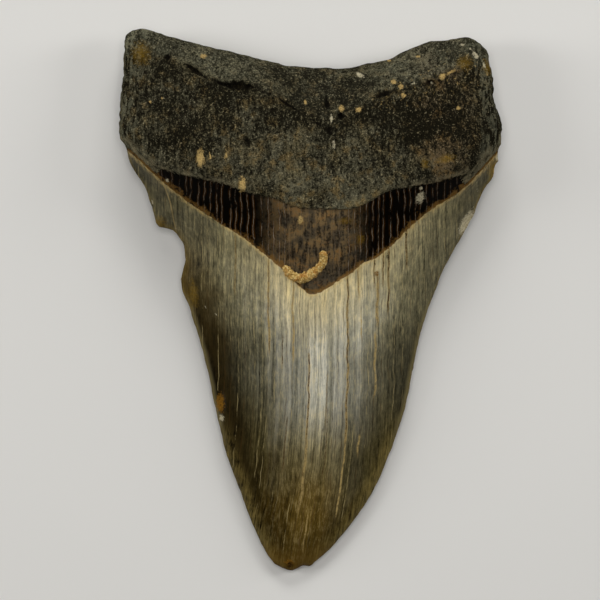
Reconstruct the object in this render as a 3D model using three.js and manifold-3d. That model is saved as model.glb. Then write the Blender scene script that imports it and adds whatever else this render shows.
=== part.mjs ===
// Fossil megalodon tooth, lying on its flat lip side with its domed tongue side up.
// Millimetres, +Z up. X runs across the tooth, -Y points to the tip, and the origin
// is under the middle of the tooth, on the surface that it rests on.
//
// A tooth grows as one piece, so it is one solid: a thick porous root with two lobes,
// a dark band of root neck (the bourlette) and a flattened blade of enamel.
// The upper and lower skins are height maps over one plan. Their rows follow the
// anatomy from side to side: the end of the root, the crease across it, its foot,
// the chevron where the enamel begins, and so on down to the worn tip.

import * as THREE from "three";
import { mergeVertices } from "three/addons/utils/BufferGeometryUtils.js";
import Module from "manifold-3d";

const wasm = await Module();
wasm.setup();

// Sizes that drive the rest
const ROOT_THICKNESS = 26.5; // highest point of the root above the surface it lies on
const ROOT_EDGE_HEIGHT = 9; // height of the rim that goes round the root
const ROOT_RIM = 0.9; // half the height of the blunt band on that rim
const BLADE_RIM = 0.22; // half the thickness of the worn cutting edge
const ENAMEL_STEP = 0.4; // how far the enamel stands above the dark band
const FOOT_STEP = 1.1; // how far the root's foot overhangs the dark band at its sides
const BLADE_BEVEL = 1.3; // rise per millimetre of a broken edge of the blade
const ROOT_BEVEL = 5; // the same on the root, which is blunter
const UNDER_END_ROUNDING = 8; // how far in the root's end is rounded off underneath
const COLUMNS = 36; // cells from side to side

// The outline as it is now, with its chips: [y, x] down each side
const LEFT_SIDE = [
  [60.6, -39.9], [59.6, -41.3], [57.8, -41.7], [54.0, -42.0], [48.4, -42.4],
  [41.6, -43.0], [38.3, -43.1], [36.0, -42.6], [34.2, -41.5], [32.6, -41.2],
  [30.4, -40.4], [27.5, -38.6], [24.8, -37.0], [22.5, -36.3], [19.6, -35.4],
  [17.3, -34.8], [16.4, -34.0], [15.9, -31.4], [14.4, -29.8], [12.2, -28.5],
  [9.0, -28.2], [6.8, -28.6], [4.5, -29.1], [1.8, -28.7], [-1.4, -27.3],
  [-6.3, -25.8], [-12.2, -24.0], [-19.4, -22.4], [-24.8, -21.3], [-28.8, -20.4],
  [-35.6, -18.6], [-42.8, -15.9], [-50.0, -13.2], [-55.4, -10.7], [-57.6, -9.6],
  [-59.6, -8.0],
];
const RIGHT_SIDE = [
  [57.6, 38.6], [56.0, 39.9], [53.6, 40.6], [50.0, 41.3], [45.0, 41.7],
  [41.9, 42.6], [38.3, 43.1], [35.3, 43.1], [33.8, 42.6], [32.4, 42.4],
  [31.3, 42.6], [29.9, 41.7], [28.6, 41.7], [26.8, 40.8], [25.4, 39.7],
  [21.4, 37.9], [19.1, 37.0], [15.5, 35.0], [11.0, 32.5], [7.2, 30.5],
  [2.3, 28.5], [-3.2, 26.4], [-9.5, 24.6], [-16.7, 23.1], [-24.8, 21.5],
  [-30.2, 19.7], [-35.6, 17.7], [-41.0, 15.4], [-46.4, 12.3], [-51.5, 8.7],
  [-55.4, 5.3], [-57.4, 3.3], [-59.2, 1.2],
];
// The outline before it was chipped, which sets the thickness: [y, x]
const WHOLE_LEFT = [
  [61, -43.4], [40, -43.5], [34, -42.6], [28, -40.2], [20, -36.6], [12, -33.0],
  [5, -30.4], [-1.4, -27.5], [-12.2, -24.1], [-24.8, -21.4], [-35.6, -18.7],
  [-50, -13.3], [-55.4, -10.9], [-59.6, -8.4], [-62, -6.5],
];
const WHOLE_RIGHT = [
  [61, 43.0], [40, 43.5], [34, 43.2], [28, 41.7], [20, 38.1], [11, 32.7],
  [2.3, 28.6], [-9.5, 24.7], [-24.8, 21.6], [-35.6, 17.8], [-46.4, 12.4],
  [-55.4, 5.5], [-59.2, 1.6], [-62, -1.5],
];

// Lines across the tooth: [x, y] from left to right
const ROOT_END = [
  [-39.9, 60.6], [-37.9, 61.0], [-35.7, 60.5], [-31.2, 59.2], [-24.4, 57.4],
  [-17.7, 55.8], [-10.9, 54.0], [-4.2, 52.7], [2.6, 52.2], [7.8, 52.0],
  [11.6, 52.8], [16.8, 53.8], [20.6, 55.6], [23.5, 56.9], [27.3, 58.1],
  [31.4, 58.5], [35.0, 59.0], [36.8, 58.7], [38.6, 57.6],
];
const CREASE = [
  [-42.0, 54.6], [-36.1, 53.8], [-32.1, 54.0], [-28.2, 52.7], [-23.7, 50.0],
  [-19.2, 48.1], [-12.5, 47.5], [-8.0, 45.7], [-1.9, 41.8], [3.3, 40.4],
  [6.9, 40.7], [11.1, 43.2], [15.2, 45.5], [18.3, 46.8], [23.5, 47.7],
  [27.3, 48.8], [31.4, 50.9], [35.9, 51.8], [41.2, 51.2],
];
const ROOT_FOOT = [
  [-42.7, 36.2], [-40.5, 34.9], [-38.4, 33.3], [-36.6, 31.5], [-34.3, 30.0],
  [-30.5, 28.5], [-22.6, 26.7], [-18.6, 25.8], [-14.5, 24.1], [-8.2, 22.7],
  [-2.4, 20.7], [3.3, 20.3], [7.8, 20.3], [11.1, 20.9], [14.1, 22.4],
  [17.4, 24.3], [22.4, 25.2], [29.1, 26.6], [34.1, 28.0], [37.7, 30.6],
  [40.4, 33.2], [43.1, 36.0],
];
const CHEVRON = [
  [-41.3, 33.8], [-38.4, 31.3], [-34.3, 27.5], [-30.7, 24.5], [-27.3, 21.8],
  [-23.1, 19.1], [-19.5, 16.7], [-15.9, 14.6], [-12.7, 12.2], [-9.6, 9.7],
  [-6.6, 7.2], [-4.2, 4.7], [-1.9, 2.7], [0.1, 1.2], [2.1, 1.6], [5.7, 3.8],
  [10.0, 6.5], [12.0, 8.3], [14.5, 9.2], [17.0, 11.0], [19.2, 12.8],
  [21.3, 15.1], [23.7, 17.3], [27.8, 20.6], [32.1, 23.2], [35.2, 25.5],
  [38.1, 28.4], [40.6, 31.1], [42.4, 33.1],
];
const TIP = [
  [-8.0, -59.6], [-6.0, -60.6], [-4.2, -61.1], [-2.6, -60.5], [-1.5, -60.0],
  [-0.1, -60.1], [1.2, -59.2],
];
// Where the enamel begins on the lip side: a gentle arch
const LIP_SIDE_ENAMEL = [
  [-41.3, 33.8], [-30, 31.2], [-18, 28.2], [0, 26.0], [18, 27.6], [30, 30.6], [42.4, 33.1],
];
const LIP_SIDE_CREASE = [
  [-42.0, 54.6], [-20, 49.5], [0, 46.0], [20, 48.5], [41.2, 51.2],
];
const LIP_SIDE_FOOT = [
  [-42.7, 36.2], [-30, 33.8], [-18, 31.0], [0, 29.0], [18, 30.4], [30, 33.2], [43.1, 36.0],
];

const STEP_GAP = 0.45; // between the two rows that hold a step in the surface
const BREAK_FADE = 6; // how fast the shape of a broken edge fades out of the columns inwards
const LEVEL_FROM = 0.15; // share of the way down the blade from which its rows are level near the edges
const PLAN_LOW = -70; // no line lies below this
const PLAN_HIGH = 70; // or above this
// Where the blade's rows meet its left edge: closer together where it is broken
const BLADE_ROW_ENDS = [
  33.7, 31.5, 29.2, 27.0, 24.8, 22.6, 20.4, 18.6, 17.1, 16.1, 15.2, 13.4, 11.2, 9.0, 6.8,
  4.4, 1.6, -1.8, -6, -11, -16.5, -22, -27.5, -33, -38.5, -44, -49, -53, -56, -58.2,
];

// Heights along the middle of the tooth, from root to tip: [y, z]
const TOP_PROFILE = [
  [61, 0.62], [52, 0.72], [46, 0.8], [41, 0.87], [34, 0.965], [27, 1.0], [21, 0.975],
  [14, 0.88], [8, 0.79], [1.2, 0.7], [-10, 0.595], [-25, 0.475], [-40, 0.355],
  [-50, 0.268], [-57, 0.19], [-61, 0.135],
].map(([y, share]) => [y, share * ROOT_THICKNESS]);
const EDGE_PROFILE = [
  [61, ROOT_EDGE_HEIGHT], [38, ROOT_EDGE_HEIGHT], [32, 7.6], [24, 6.2], [12, 5.2],
  [0, 4.4], [-25, 3.3], [-45, 2.6], [-61, 2.2],
];
// Below nought the underside is worn flat, where the tooth rests
const UNDER_PROFILE = [
  [61, 0.9], [50, 0.3], [40, -0.1], [30, 0.2], [24, 0.35], [10, 0.6], [-8, 0.35],
  [-22, -0.16], [-38, -0.16], [-50, 0.7], [-61, 1.5],
];

// How full a section is across the tooth: how flat its middle and how round its shoulders
const BLADE_TOP = { boxiness: 1.85, roundness: 1.0 };
const BLADE_UNDER = { boxiness: 2.3, roundness: 0.8 };
const ROOT_TOP = { boxiness: 2.9, roundness: 0.52 };
const ROOT_UNDER = { boxiness: 5.5, roundness: 0.5 };
const TIP_ROUNDING = 3.5; // how far in the worn tip is rounded off

// Small forms
const ROOT_HOLLOW = 0.7; // depth of the hollow between the lobes, underneath
const REST_LOBE = { x: 26, y: 41, reach: 9, depth: 1.45 }; // where each root lobe rests
const FORAMEN = { x: 6.8, y: 41.0, radius: 1.1, depth: 3.2 }; // nutrient hole
// Crevices along the crease, and grooves and pits of the root: ends, half width and depth
const CREVICES = [
  { from: [-28.6, 53.0], to: [-23.4, 49.9], width: 0.7, depth: 1.5 },
  { from: [-20.6, 48.4], to: [-11.8, 47.5], width: 1.1, depth: 2.4 },
  { from: [-8.4, 46.0], to: [-1.6, 41.6], width: 0.6, depth: 1.3 },
  { from: [14.6, 45.2], to: [19.0, 47.0], width: 0.8, depth: 1.5 },
  { from: [3.6, 46.0], to: [4.2, 42.2], width: 0.7, depth: 1.3 },
  { from: [-14.6, 36.6], to: [-13.8, 33.8], width: 0.9, depth: 1.0 },
  { from: [4.0, 39.0], to: [4.9, 36.6], width: 0.8, depth: 0.9 },
  { from: [-32.8, 54.8], to: [-31.2, 54.0], width: 0.8, depth: 1.1 },
];
// Chips in the enamel near the edge: middle, half lengths and depth
const CHIPS = [
  { x: -20.4, y: -23.2, halfX: 1.4, halfY: 2.8, depth: 0.7 },
  { x: -20.2, y: -26.8, halfX: 0.8, halfY: 1.3, depth: 0.5 },
  { x: 41.3, y: 29.6, halfX: 1.4, halfY: 2.9, depth: 0.8 },
  { x: 38.6, y: 26.0, halfX: 1.4, halfY: 2.3, depth: 0.7 },
  { x: 35.0, y: 17.4, halfX: 1.9, halfY: 3.6, depth: 1.0 },
];
// The limy tube of a sea worm that grew on the dark band: [x, y] along its middle
const WORM_TUBE_PATH = [
  [-5.6, 7.9], [-4.7, 6.4], [-3.5, 5.3], [-2.2, 4.9], [-0.9, 5.3], [0.4, 6.3],
  [1.6, 7.6], [2.6, 9.2], [2.9, 10.9],
];
const WORM_TUBE_RADIUS = 1.1;
const WORM_TUBE_SINK = 0.45; // how far its middle lies under the surface

// Curves and easing

/** A smooth curve through [a, value] points that never overshoots them. */
function curveThrough(points) {
  const sorted = [...points].sort((p, q) => p[0] - q[0]);
  const xs = sorted.map((p) => p[0]);
  const ys = sorted.map((p) => p[1]);
  const slopes = xs.slice(1).map((x, i) => (ys[i + 1] - ys[i]) / (x - xs[i]));
  const tangents = xs.map((x, i) => {
    if (i === 0) return slopes[0];
    if (i === xs.length - 1) return slopes[i - 1];
    const before = slopes[i - 1];
    const after = slopes[i];
    return before * after > 0 ? (2 * before * after) / (before + after) : 0;
  });
  return (a) => {
    const at = THREE.MathUtils.clamp(a, xs[0], xs[xs.length - 1]);
    let i = xs.findIndex((x) => x > at) - 1;
    if (i < 0) i = xs.length - 2;
    const span = xs[i + 1] - xs[i];
    const t = (at - xs[i]) / span;
    const t2 = t * t;
    const t3 = t2 * t;
    return (
      (2 * t3 - 3 * t2 + 1) * ys[i] +
      (t3 - 2 * t2 + t) * span * tangents[i] +
      (3 * t2 - 2 * t3) * ys[i + 1] +
      (t3 - t2) * span * tangents[i + 1]
    );
  };
}

const X_AXIS = new THREE.Vector3(1, 0, 0);
const Z_AXIS = new THREE.Vector3(0, 0, 1);
const ease = (low, high, value) => THREE.MathUtils.smoothstep(value, low, high);
const bump = (value, reach) => Math.exp(-((value / reach) ** 2));

const leftSide = curveThrough(LEFT_SIDE);
const rightSide = curveThrough(RIGHT_SIDE);
const wholeLeft = curveThrough(WHOLE_LEFT);
const wholeRight = curveThrough(WHOLE_RIGHT);
const rootEnd = curveThrough(ROOT_END);
const crease = curveThrough(CREASE);
const rootFoot = curveThrough(ROOT_FOOT);
const chevron = curveThrough(CHEVRON);
const tipLine = curveThrough(TIP);
const lipSideEnamel = curveThrough(LIP_SIDE_ENAMEL);
const topProfile = curveThrough(TOP_PROFILE);
const edgeProfile = curveThrough(EDGE_PROFILE);
const underProfile = curveThrough(UNDER_PROFILE);

// Heights

/** How far across the unbroken tooth a point is: 0 in the middle, 1 at either edge. */
function acrossShare(x, y) {
  const low = wholeLeft(y);
  const high = wholeRight(y);
  return Math.min(1, Math.abs(x - (low + high) / 2) / ((high - low) / 2));
}

/** The share of the full height that a section keeps this far across. */
const dome = (across, { boxiness, roundness }) => (1 - across ** boxiness) ** roundness;

/** A quarter round: 0 at an end, 1 from the given distance inwards. */
function quarterRound(distance, reach) {
  const share = THREE.MathUtils.clamp(distance / reach, 0, 1);
  return Math.sqrt(1 - (1 - share) ** 2);
}

/** How much of the height is left near the worn tip. */
const tipShare = (x, y) => 0.3 + 0.7 * quarterRound(y - tipLine(x), TIP_ROUNDING);

/** Broad swells of worn bone, at most 0.6 mm. */
function swell(x, y) {
  return (
    0.28 * Math.sin(x / 5.1 + 0.7) * Math.sin(y / 4.3 + 0.4) +
    0.2 * Math.sin(x / 2.9 - y / 6.2 + 2.1) +
    0.12 * Math.sin(x / 1.9 + y / 2.3)
  );
}

/** How far the dark band lies under the surfaces above and below it. */
function bandDrop(x, y) {
  const foot = rootFoot(x);
  const enamel = chevron(x);
  if (y >= foot || y <= enamel) return 0;
  const down = (foot - y) / (foot - enamel);
  const sides = ease(9, 17, Math.abs(x - 0.5));
  const step = FOOT_STEP * (0.2 + 0.8 * sides) * (1 - ease(36, 41, Math.abs(x)));
  return THREE.MathUtils.lerp(step, ENAMEL_STEP, down) * ease(0, 0.5, foot - y) * ease(0, 0.4, y - enamel);
}

/** The edge's own height band: wide on the root, narrow on the blade. */
function rimHalf(x, y) {
  const onRoot = ease(-3, 2, y - rootFoot(x));
  return THREE.MathUtils.lerp(BLADE_RIM, ROOT_RIM, onRoot);
}

/** How far a point is from the straight line between two others. */
function distanceToLine(x, y, [ax, ay], [bx, by]) {
  const along = new THREE.Vector2(bx - ax, by - ay);
  const offset = new THREE.Vector2(x - ax, y - ay);
  const share = THREE.MathUtils.clamp(offset.dot(along) / along.lengthSq(), 0, 1);
  return offset.sub(along.multiplyScalar(share)).length();
}

/** How far a point is from the sides of the outline as it is now. */
function sideDistance(x, y) {
  const side = x < 0 ? LEFT_SIDE : RIGHT_SIDE;
  const points = side.map(([py, px]) => [px, py]);
  return Math.min(...points.slice(1).map((point, i) => distanceToLine(x, y, points[i], point)));
}

/** How much a broken edge lets a skin rise from the rim at this point. */
function brokenEdgeRise(x, y, onRoot) {
  return THREE.MathUtils.lerp(BLADE_BEVEL, ROOT_BEVEL, onRoot) * sideDistance(x, y);
}

/** Height of the upper, tongue-side skin. */
function topHeight(x, y) {
  const edge = edgeProfile(y) + rimHalf(x, y);
  const onRoot = ease(-6, 1.5, y - rootFoot(x));
  const across = acrossShare(x, y);
  const section = THREE.MathUtils.lerp(dome(across, BLADE_TOP), dome(across, ROOT_TOP), onRoot);
  const endDistance = rootEnd(x) - y;
  const faceWidth = rootEnd(x) - crease(x);
  const slope = THREE.MathUtils.clamp(endDistance / faceWidth, 0, 1);
  const endShare = THREE.MathUtils.lerp(slope, quarterRound(endDistance, faceWidth), 0.55);
  const share = section * endShare * tipShare(x, y);
  let height = edge + (topProfile(y) - edge) * share;
  height += swell(x, y) * onRoot * Math.min(1, 2.5 * share);
  height -= bandDrop(x, y);
  return Math.min(height, edge + brokenEdgeRise(x, y, onRoot));
}

/** Height of the lower, lip-side skin, which lies on the surface. */
function underHeight(x, y) {
  const edge = edgeProfile(y) - rimHalf(x, y);
  const onRoot = ease(-2, 3, y - lipSideEnamel(x));
  const across = acrossShare(x, y);
  const section = THREE.MathUtils.lerp(dome(across, BLADE_UNDER), dome(across, ROOT_UNDER), onRoot);
  const share = section * quarterRound(rootEnd(x) - y, UNDER_END_ROUNDING) * tipShare(x, y);
  let height = edge - (edge - underProfile(y)) * share;
  height += onRoot * share * (ROOT_HOLLOW * bump(x, 13) + 0.35 * swell(x + 11, y - 7) + 0.35);
  const { x: lobeX, y: lobeY, reach, depth } = REST_LOBE;
  height -= depth * bump(Math.abs(x) - lobeX, reach) * bump(y - lobeY, reach) * onRoot;
  return Math.max(0, height, edge - brokenEdgeRise(x, y, onRoot));
}

// The two skins over one plan

/** Column places from side to side, closer together near both edges. */
const columnShares = Array.from({ length: COLUMNS + 1 }, (_, i) => {
  const t = i / COLUMNS;
  return 0.55 * t + 0.45 * (0.5 - 0.5 * Math.cos(Math.PI * t));
});

/** The x at a share of the way across. Columns follow the unbroken outline until close to a broken edge. */
function planX(share, y) {
  const whole = THREE.MathUtils.lerp(wholeLeft(y), wholeRight(y), share);
  const leftBreak = (leftSide(y) - wholeLeft(y)) * (1 - share) ** BREAK_FADE;
  const rightBreak = (rightSide(y) - wholeRight(y)) * share ** BREAK_FADE;
  return whole + leftBreak + rightBreak;
}

/** A row of the plan, as the y where each column crosses a line through [x, y] points. */
function lineRow(points) {
  const line = curveThrough(points);
  return columnShares.map((share) => {
    let low = PLAN_LOW;
    let high = PLAN_HIGH;
    while (high - low > 1e-6) {
      const y = (low + high) / 2;
      if (y < line(planX(share, y))) low = y;
      else high = y;
    }
    return high;
  });
}

const shifted = (points, dy) => points.map(([x, y]) => [x, y + dy]);

/** The row that lies at a share of the way from one row to another. */
const rowAt = (share, from, to) => from.map((y, column) => THREE.MathUtils.lerp(y, to[column], share));

/** Evenly spaced rows between two rows, with the first and without the last. */
function rowsBetween(from, to, count) {
  return Array.from({ length: count }, (_, i) => rowAt(i / count, from, to));
}

/** A row of the blade that meets its left edge at this y. It runs level near both edges, whose breaks it meets. */
function bladeRow(endY, enamel, tip) {
  const down = (enamel[0] - endY) / (enamel[0] - tip[0]);
  const row = rowAt(down, enamel, tip);
  return row.map((y, column) => {
    const share = columnShares[column];
    const level = THREE.MathUtils.lerp(row[0], row[COLUMNS], share);
    const nearEdge = (1 - share) ** BREAK_FADE + share ** BREAK_FADE;
    return THREE.MathUtils.lerp(y, level, nearEdge * ease(0, LEVEL_FROM, down));
  });
}

/** All the rows of a skin, from the end of the root to the tip. */
function skinRows(creaseLine, footLine, enamelLine) {
  const end = lineRow(ROOT_END);
  const fold = lineRow(creaseLine);
  const foot = lineRow(footLine);
  const footBelow = lineRow(shifted(footLine, -STEP_GAP));
  const enamelAbove = lineRow(shifted(enamelLine, STEP_GAP));
  const enamel = lineRow(enamelLine);
  const tip = lineRow(TIP);
  return [
    ...rowsBetween(end, fold, 6),
    ...rowsBetween(fold, foot, 10),
    ...rowsBetween(foot, footBelow, 1),
    ...rowsBetween(footBelow, enamelAbove, 5),
    ...rowsBetween(enamelAbove, enamel, 1),
    ...BLADE_ROW_ENDS.map((y) => bladeRow(y, enamel, tip)),
    tip,
  ];
}

/** The points of a skin, row by row. */
function skinPoints(rows, height) {
  return rows.map((row) =>
    row.map((y, column) => {
      const x = planX(columnShares[column], y);
      return [x, y, height(x, y)];
    }),
  );
}

/** One closed body from an upper and a lower skin with the same edge in plan. */
function bodyBetween(top, under) {
  const rowCount = top.length;
  const width = COLUMNS + 1;
  const points = [...top.flat(), ...under.flat()];
  const lowerStart = rowCount * width;
  const index = [];
  const apart = (a, b) => Math.hypot(...points[a].map((value, axis) => value - points[b][axis]));
  // Each quad is split along its shorter diagonal
  const quad = (a, b, c, d) => {
    if (apart(a, c) <= apart(b, d)) index.push(a, b, c, a, c, d);
    else index.push(a, b, d, b, c, d);
  };
  for (let r = 0; r < rowCount - 1; r++) {
    for (let c = 0; c < COLUMNS; c++) {
      const a = r * width + c;
      quad(a, a + width, a + width + 1, a + 1);
      quad(lowerStart + a, lowerStart + a + 1, lowerStart + a + width + 1, lowerStart + a + width);
    }
    const left = r * width;
    const right = left + COLUMNS;
    quad(left, lowerStart + left, lowerStart + left + width, left + width);
    quad(right + width, lowerStart + right + width, lowerStart + right, right);
  }
  for (let c = 0; c < COLUMNS; c++) {
    const last = (rowCount - 1) * width + c;
    quad(c + 1, lowerStart + c + 1, lowerStart + c, c);
    quad(last, lowerStart + last, lowerStart + last + 1, last + 1);
  }
  const geometry = new THREE.BufferGeometry();
  geometry.setAttribute("position", new THREE.Float32BufferAttribute(points.flat(), 3));
  geometry.setIndex(index);
  return geometry;
}

// Cutting and joining

/** A closed geometry as a solid that can be cut and joined. */
function solidOf(geometry) {
  const bare = geometry.clone();
  bare.deleteAttribute("normal");
  bare.deleteAttribute("uv");
  const merged = mergeVertices(bare, 1e-4);
  return new wasm.Manifold(
    new wasm.Mesh({
      numProp: 3,
      vertProperties: new Float32Array(merged.attributes.position.array),
      triVerts: new Uint32Array(merged.index.array),
    }),
  );
}

/** A solid back as a geometry. */
function geometryOf(solid) {
  const mesh = solid.getMesh();
  const geometry = new THREE.BufferGeometry();
  geometry.setAttribute("position", new THREE.BufferAttribute(mesh.vertProperties, 3));
  geometry.setIndex(new THREE.BufferAttribute(mesh.triVerts, 1));
  return geometry;
}

/** The worm's tube, sunk a little into the surface. */
function wormTube() {
  const path = new THREE.CatmullRomCurve3(
    WORM_TUBE_PATH.map(([x, y]) => new THREE.Vector3(x, y, topHeight(x, y) - WORM_TUBE_SINK)),
  );
  const section = new THREE.Shape();
  section.absarc(0, 0, WORM_TUBE_RADIUS, 0, 2 * Math.PI);
  return new THREE.ExtrudeGeometry(section, { steps: 16, curveSegments: 8, extrudePath: path });
}

/** The hole where blood vessels entered the root. */
function foramen() {
  const { x, y, radius, depth } = FORAMEN;
  const drill = new THREE.CylinderGeometry(radius, radius * 0.5, depth * 2, 10);
  drill.rotateX(Math.PI / 2 + 0.35);
  drill.translate(x, y, topHeight(x, y));
  return drill;
}

/** A long narrow scoop that follows the surface from one end to the other. */
function crevice({ from, to, width, depth }) {
  const start = new THREE.Vector3(...from, topHeight(...from));
  const end = new THREE.Vector3(...to, topHeight(...to));
  const along = end.clone().sub(start);
  const scoop = new THREE.SphereGeometry(1, 7, 4);
  scoop.scale(along.length() / 2, width, depth);
  scoop.applyQuaternion(new THREE.Quaternion().setFromUnitVectors(X_AXIS, along.normalize()));
  scoop.translate(...start.lerp(end, 0.5).toArray());
  return scoop;
}

/** The direction that the upper skin faces. */
function facing(x, y) {
  const reach = 0.6;
  const acrossFall = topHeight(x - reach, y) - topHeight(x + reach, y);
  const alongFall = topHeight(x, y - reach) - topHeight(x, y + reach);
  return new THREE.Vector3(acrossFall, alongFall, 2 * reach).normalize();
}

/** A shallow scoop out of the surface. */
function chip({ x, y, halfX, halfY, depth }) {
  const scoop = new THREE.SphereGeometry(1, 9, 6);
  scoop.scale(halfX, halfY, depth * 1.3);
  scoop.applyQuaternion(new THREE.Quaternion().setFromUnitVectors(Z_AXIS, facing(x, y)));
  scoop.translate(x, y, topHeight(x, y) + depth * 0.3);
  return scoop;
}

const topRows = skinRows(CREASE, ROOT_FOOT, CHEVRON);
const underRows = skinRows(LIP_SIDE_CREASE, LIP_SIDE_FOOT, LIP_SIDE_ENAMEL);
let solid = solidOf(bodyBetween(skinPoints(topRows, topHeight), skinPoints(underRows, underHeight)));
solid = solid.add(solidOf(wormTube()));
for (const cut of [foramen(), ...CREVICES.map(crevice), ...CHIPS.map(chip)]) {
  solid = solid.subtract(solidOf(cut));
}

const geometry = geometryOf(solid);
geometry.computeBoundingBox();
const { min, max } = geometry.boundingBox;
geometry.translate(-(min.x + max.x) / 2, -(min.y + max.y) / 2, -min.z);
geometry.computeVertexNormals();

const fossil = new THREE.MeshStandardMaterial({ color: 0x77705c, roughness: 0.45, metalness: 0 });
const tooth = new THREE.Mesh(geometry, fossil);
tooth.name = "tooth";

const group = new THREE.Group();
group.add(tooth);

export default group;
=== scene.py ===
"""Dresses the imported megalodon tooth: a fine skin in its solid's place, on a pale floor.

Lengths inside the shape formulas are millimetres, as a fossil collector measures them, and MM turns them
into Blender's metres when a mesh is made. +Z is up, -Y points to the tip, +X is the right of the domed side.
"""

from __future__ import annotations

import logging
from dataclasses import dataclass, field
from enum import Enum
from typing import Any, Union

import bpy
import numpy as np
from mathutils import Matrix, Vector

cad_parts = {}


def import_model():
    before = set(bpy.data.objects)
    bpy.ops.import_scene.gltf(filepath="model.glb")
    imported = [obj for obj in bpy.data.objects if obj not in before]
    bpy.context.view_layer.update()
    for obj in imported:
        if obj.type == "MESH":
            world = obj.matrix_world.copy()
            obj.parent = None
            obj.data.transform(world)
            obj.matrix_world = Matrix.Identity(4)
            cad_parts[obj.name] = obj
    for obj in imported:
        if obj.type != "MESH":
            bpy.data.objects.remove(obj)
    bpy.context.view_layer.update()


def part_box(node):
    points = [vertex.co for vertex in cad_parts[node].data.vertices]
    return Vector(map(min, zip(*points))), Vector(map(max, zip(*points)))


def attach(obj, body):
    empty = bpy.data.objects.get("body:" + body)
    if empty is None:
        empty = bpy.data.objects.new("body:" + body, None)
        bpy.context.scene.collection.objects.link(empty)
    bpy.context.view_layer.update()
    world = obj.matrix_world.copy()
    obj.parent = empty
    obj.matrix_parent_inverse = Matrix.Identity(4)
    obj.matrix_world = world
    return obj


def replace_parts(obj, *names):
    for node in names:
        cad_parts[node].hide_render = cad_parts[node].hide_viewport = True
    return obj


MM = 0.001
LOG = logging.getLogger("tooth")

Array = np.ndarray
Point = tuple[float, float]
Points = tuple[Point, ...]


# Curves, easing and noise on whole arrays


@dataclass(frozen=True)
class SmoothLine:
    """A smooth curve through (place, value) points that never overshoots them."""

    points: Points

    def __call__(self, place: Array) -> Array:
        """Reads the curve: between two points it is a cubic with the harmonic mean of the slopes as tangent.

        Args:
            place: where to read it, held between the first and the last point.

        Returns:
            The values, in an array of the same shape.
        """
        xs, ys = np.array(sorted(self.points)).T
        slopes = np.diff(ys) / np.diff(xs)
        product = slopes[:-1] * slopes[1:]
        total = np.where(product > 0, slopes[:-1] + slopes[1:], 1.0)
        inner = np.where(product > 0, 2 * product / total, 0.0)
        tangents = np.concatenate([slopes[:1], inner, slopes[-1:]])
        at = np.clip(place, xs[0], xs[-1])
        i = np.clip(np.searchsorted(xs, at, side="right") - 1, 0, len(xs) - 2)
        span = xs[i + 1] - xs[i]
        t = (at - xs[i]) / span
        start = (2 * t**3 - 3 * t**2 + 1) * ys[i] + (t**3 - 2 * t**2 + t) * span * tangents[i]
        end = (3 * t**2 - 2 * t**3) * ys[i + 1] + (t**3 - t**2) * span * tangents[i + 1]
        return start + end

    def slant(self, place: Array) -> Array:
        """The length of the curve's slope direction: the root of 1 plus the slope squared."""
        reach = 0.5
        slope = (self(place + reach) - self(place - reach)) / (2 * reach)
        return np.sqrt(1 + slope**2)


def ease(low: float, high: float, value: Array) -> Array:
    """A smooth step: 0 up to low, 1 from high on, and 3t^2 - 2t^3 between them."""
    t = np.clip((value - low) / (high - low), 0, 1)
    return t * t * (3 - 2 * t)


def bump(value: Array, reach: float) -> Array:
    """A bell: 1 at nought, falling as e to the minus (value / reach) squared."""
    return np.exp(-((value / reach) ** 2))


def quarter_round(distance: Array, reach: Array | float) -> Array:
    """A quarter circle: 0 at an end, 1 from the given reach inwards."""
    share = np.clip(distance / reach, 0, 1)
    return np.sqrt(1 - (1 - share) ** 2)


def mix(low: Array | float, high: Array | float, share: Array) -> Array:
    """The value that lies at a share of the way from low to high."""
    return low + (high - low) * share


def lattice(i: Array, j: Array, seed: float) -> Array:
    """A fixed random value from -1 to 1 for each lattice point, from the fraction of a large sine."""
    value = np.sin(i * 127.1 + j * 311.7 + seed * 74.7) * 43758.5453
    return 2 * (value - np.floor(value)) - 1


def grain(x: Array, y: Array, seed: float, octaves: int = 1) -> Array:
    """Value noise from -1 to 1: lattice values joined by smooth steps, each octave finer and lower by half.

    Args:
        x, y: places, in lattice cells.
        seed: which pattern.
        octaves: how many layers of detail.

    Returns:
        The noise, in an array of the same shape.
    """
    total = np.zeros_like(x, dtype=float)
    height = 1.0
    for octave in range(octaves):
        i, j = np.floor(x), np.floor(y)
        s = ease(0, 1, x - i)
        t = ease(0, 1, y - j)
        code = seed + 13.7 * octave
        near = mix(lattice(i, j, code), lattice(i + 1, j, code), s)
        far = mix(lattice(i, j + 1, code), lattice(i + 1, j + 1, code), s)
        total += height * mix(near, far, t)
        height /= 2
        x, y = 2 * x + 5.3, 2 * y + 9.1
    return total


def dome(out: Array, shape: Point) -> Array:
    """How full a section is: (1 - out^a)^b for the shape (a, b), 1 in the middle and 0 at the sides."""
    return (1 - out ** shape[0]) ** shape[1]


def line_distance(x: Array, y: Array, start: Point, end: Point) -> tuple[Array, Array]:
    """Distance from places to a straight line between two points.

    Args:
        x, y: the places.
        start, end: the ends of the line.

    Returns:
        The distance, and the share of the way along the line of its nearest point.
    """
    along = np.subtract(end, start)
    share = np.clip(((x - start[0]) * along[0] + (y - start[1]) * along[1]) / (along @ along), 0, 1)
    distance = np.hypot(x - start[0] - share * along[0], y - start[1] - share * along[1])
    return distance, share


# The plan of the tooth


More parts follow.
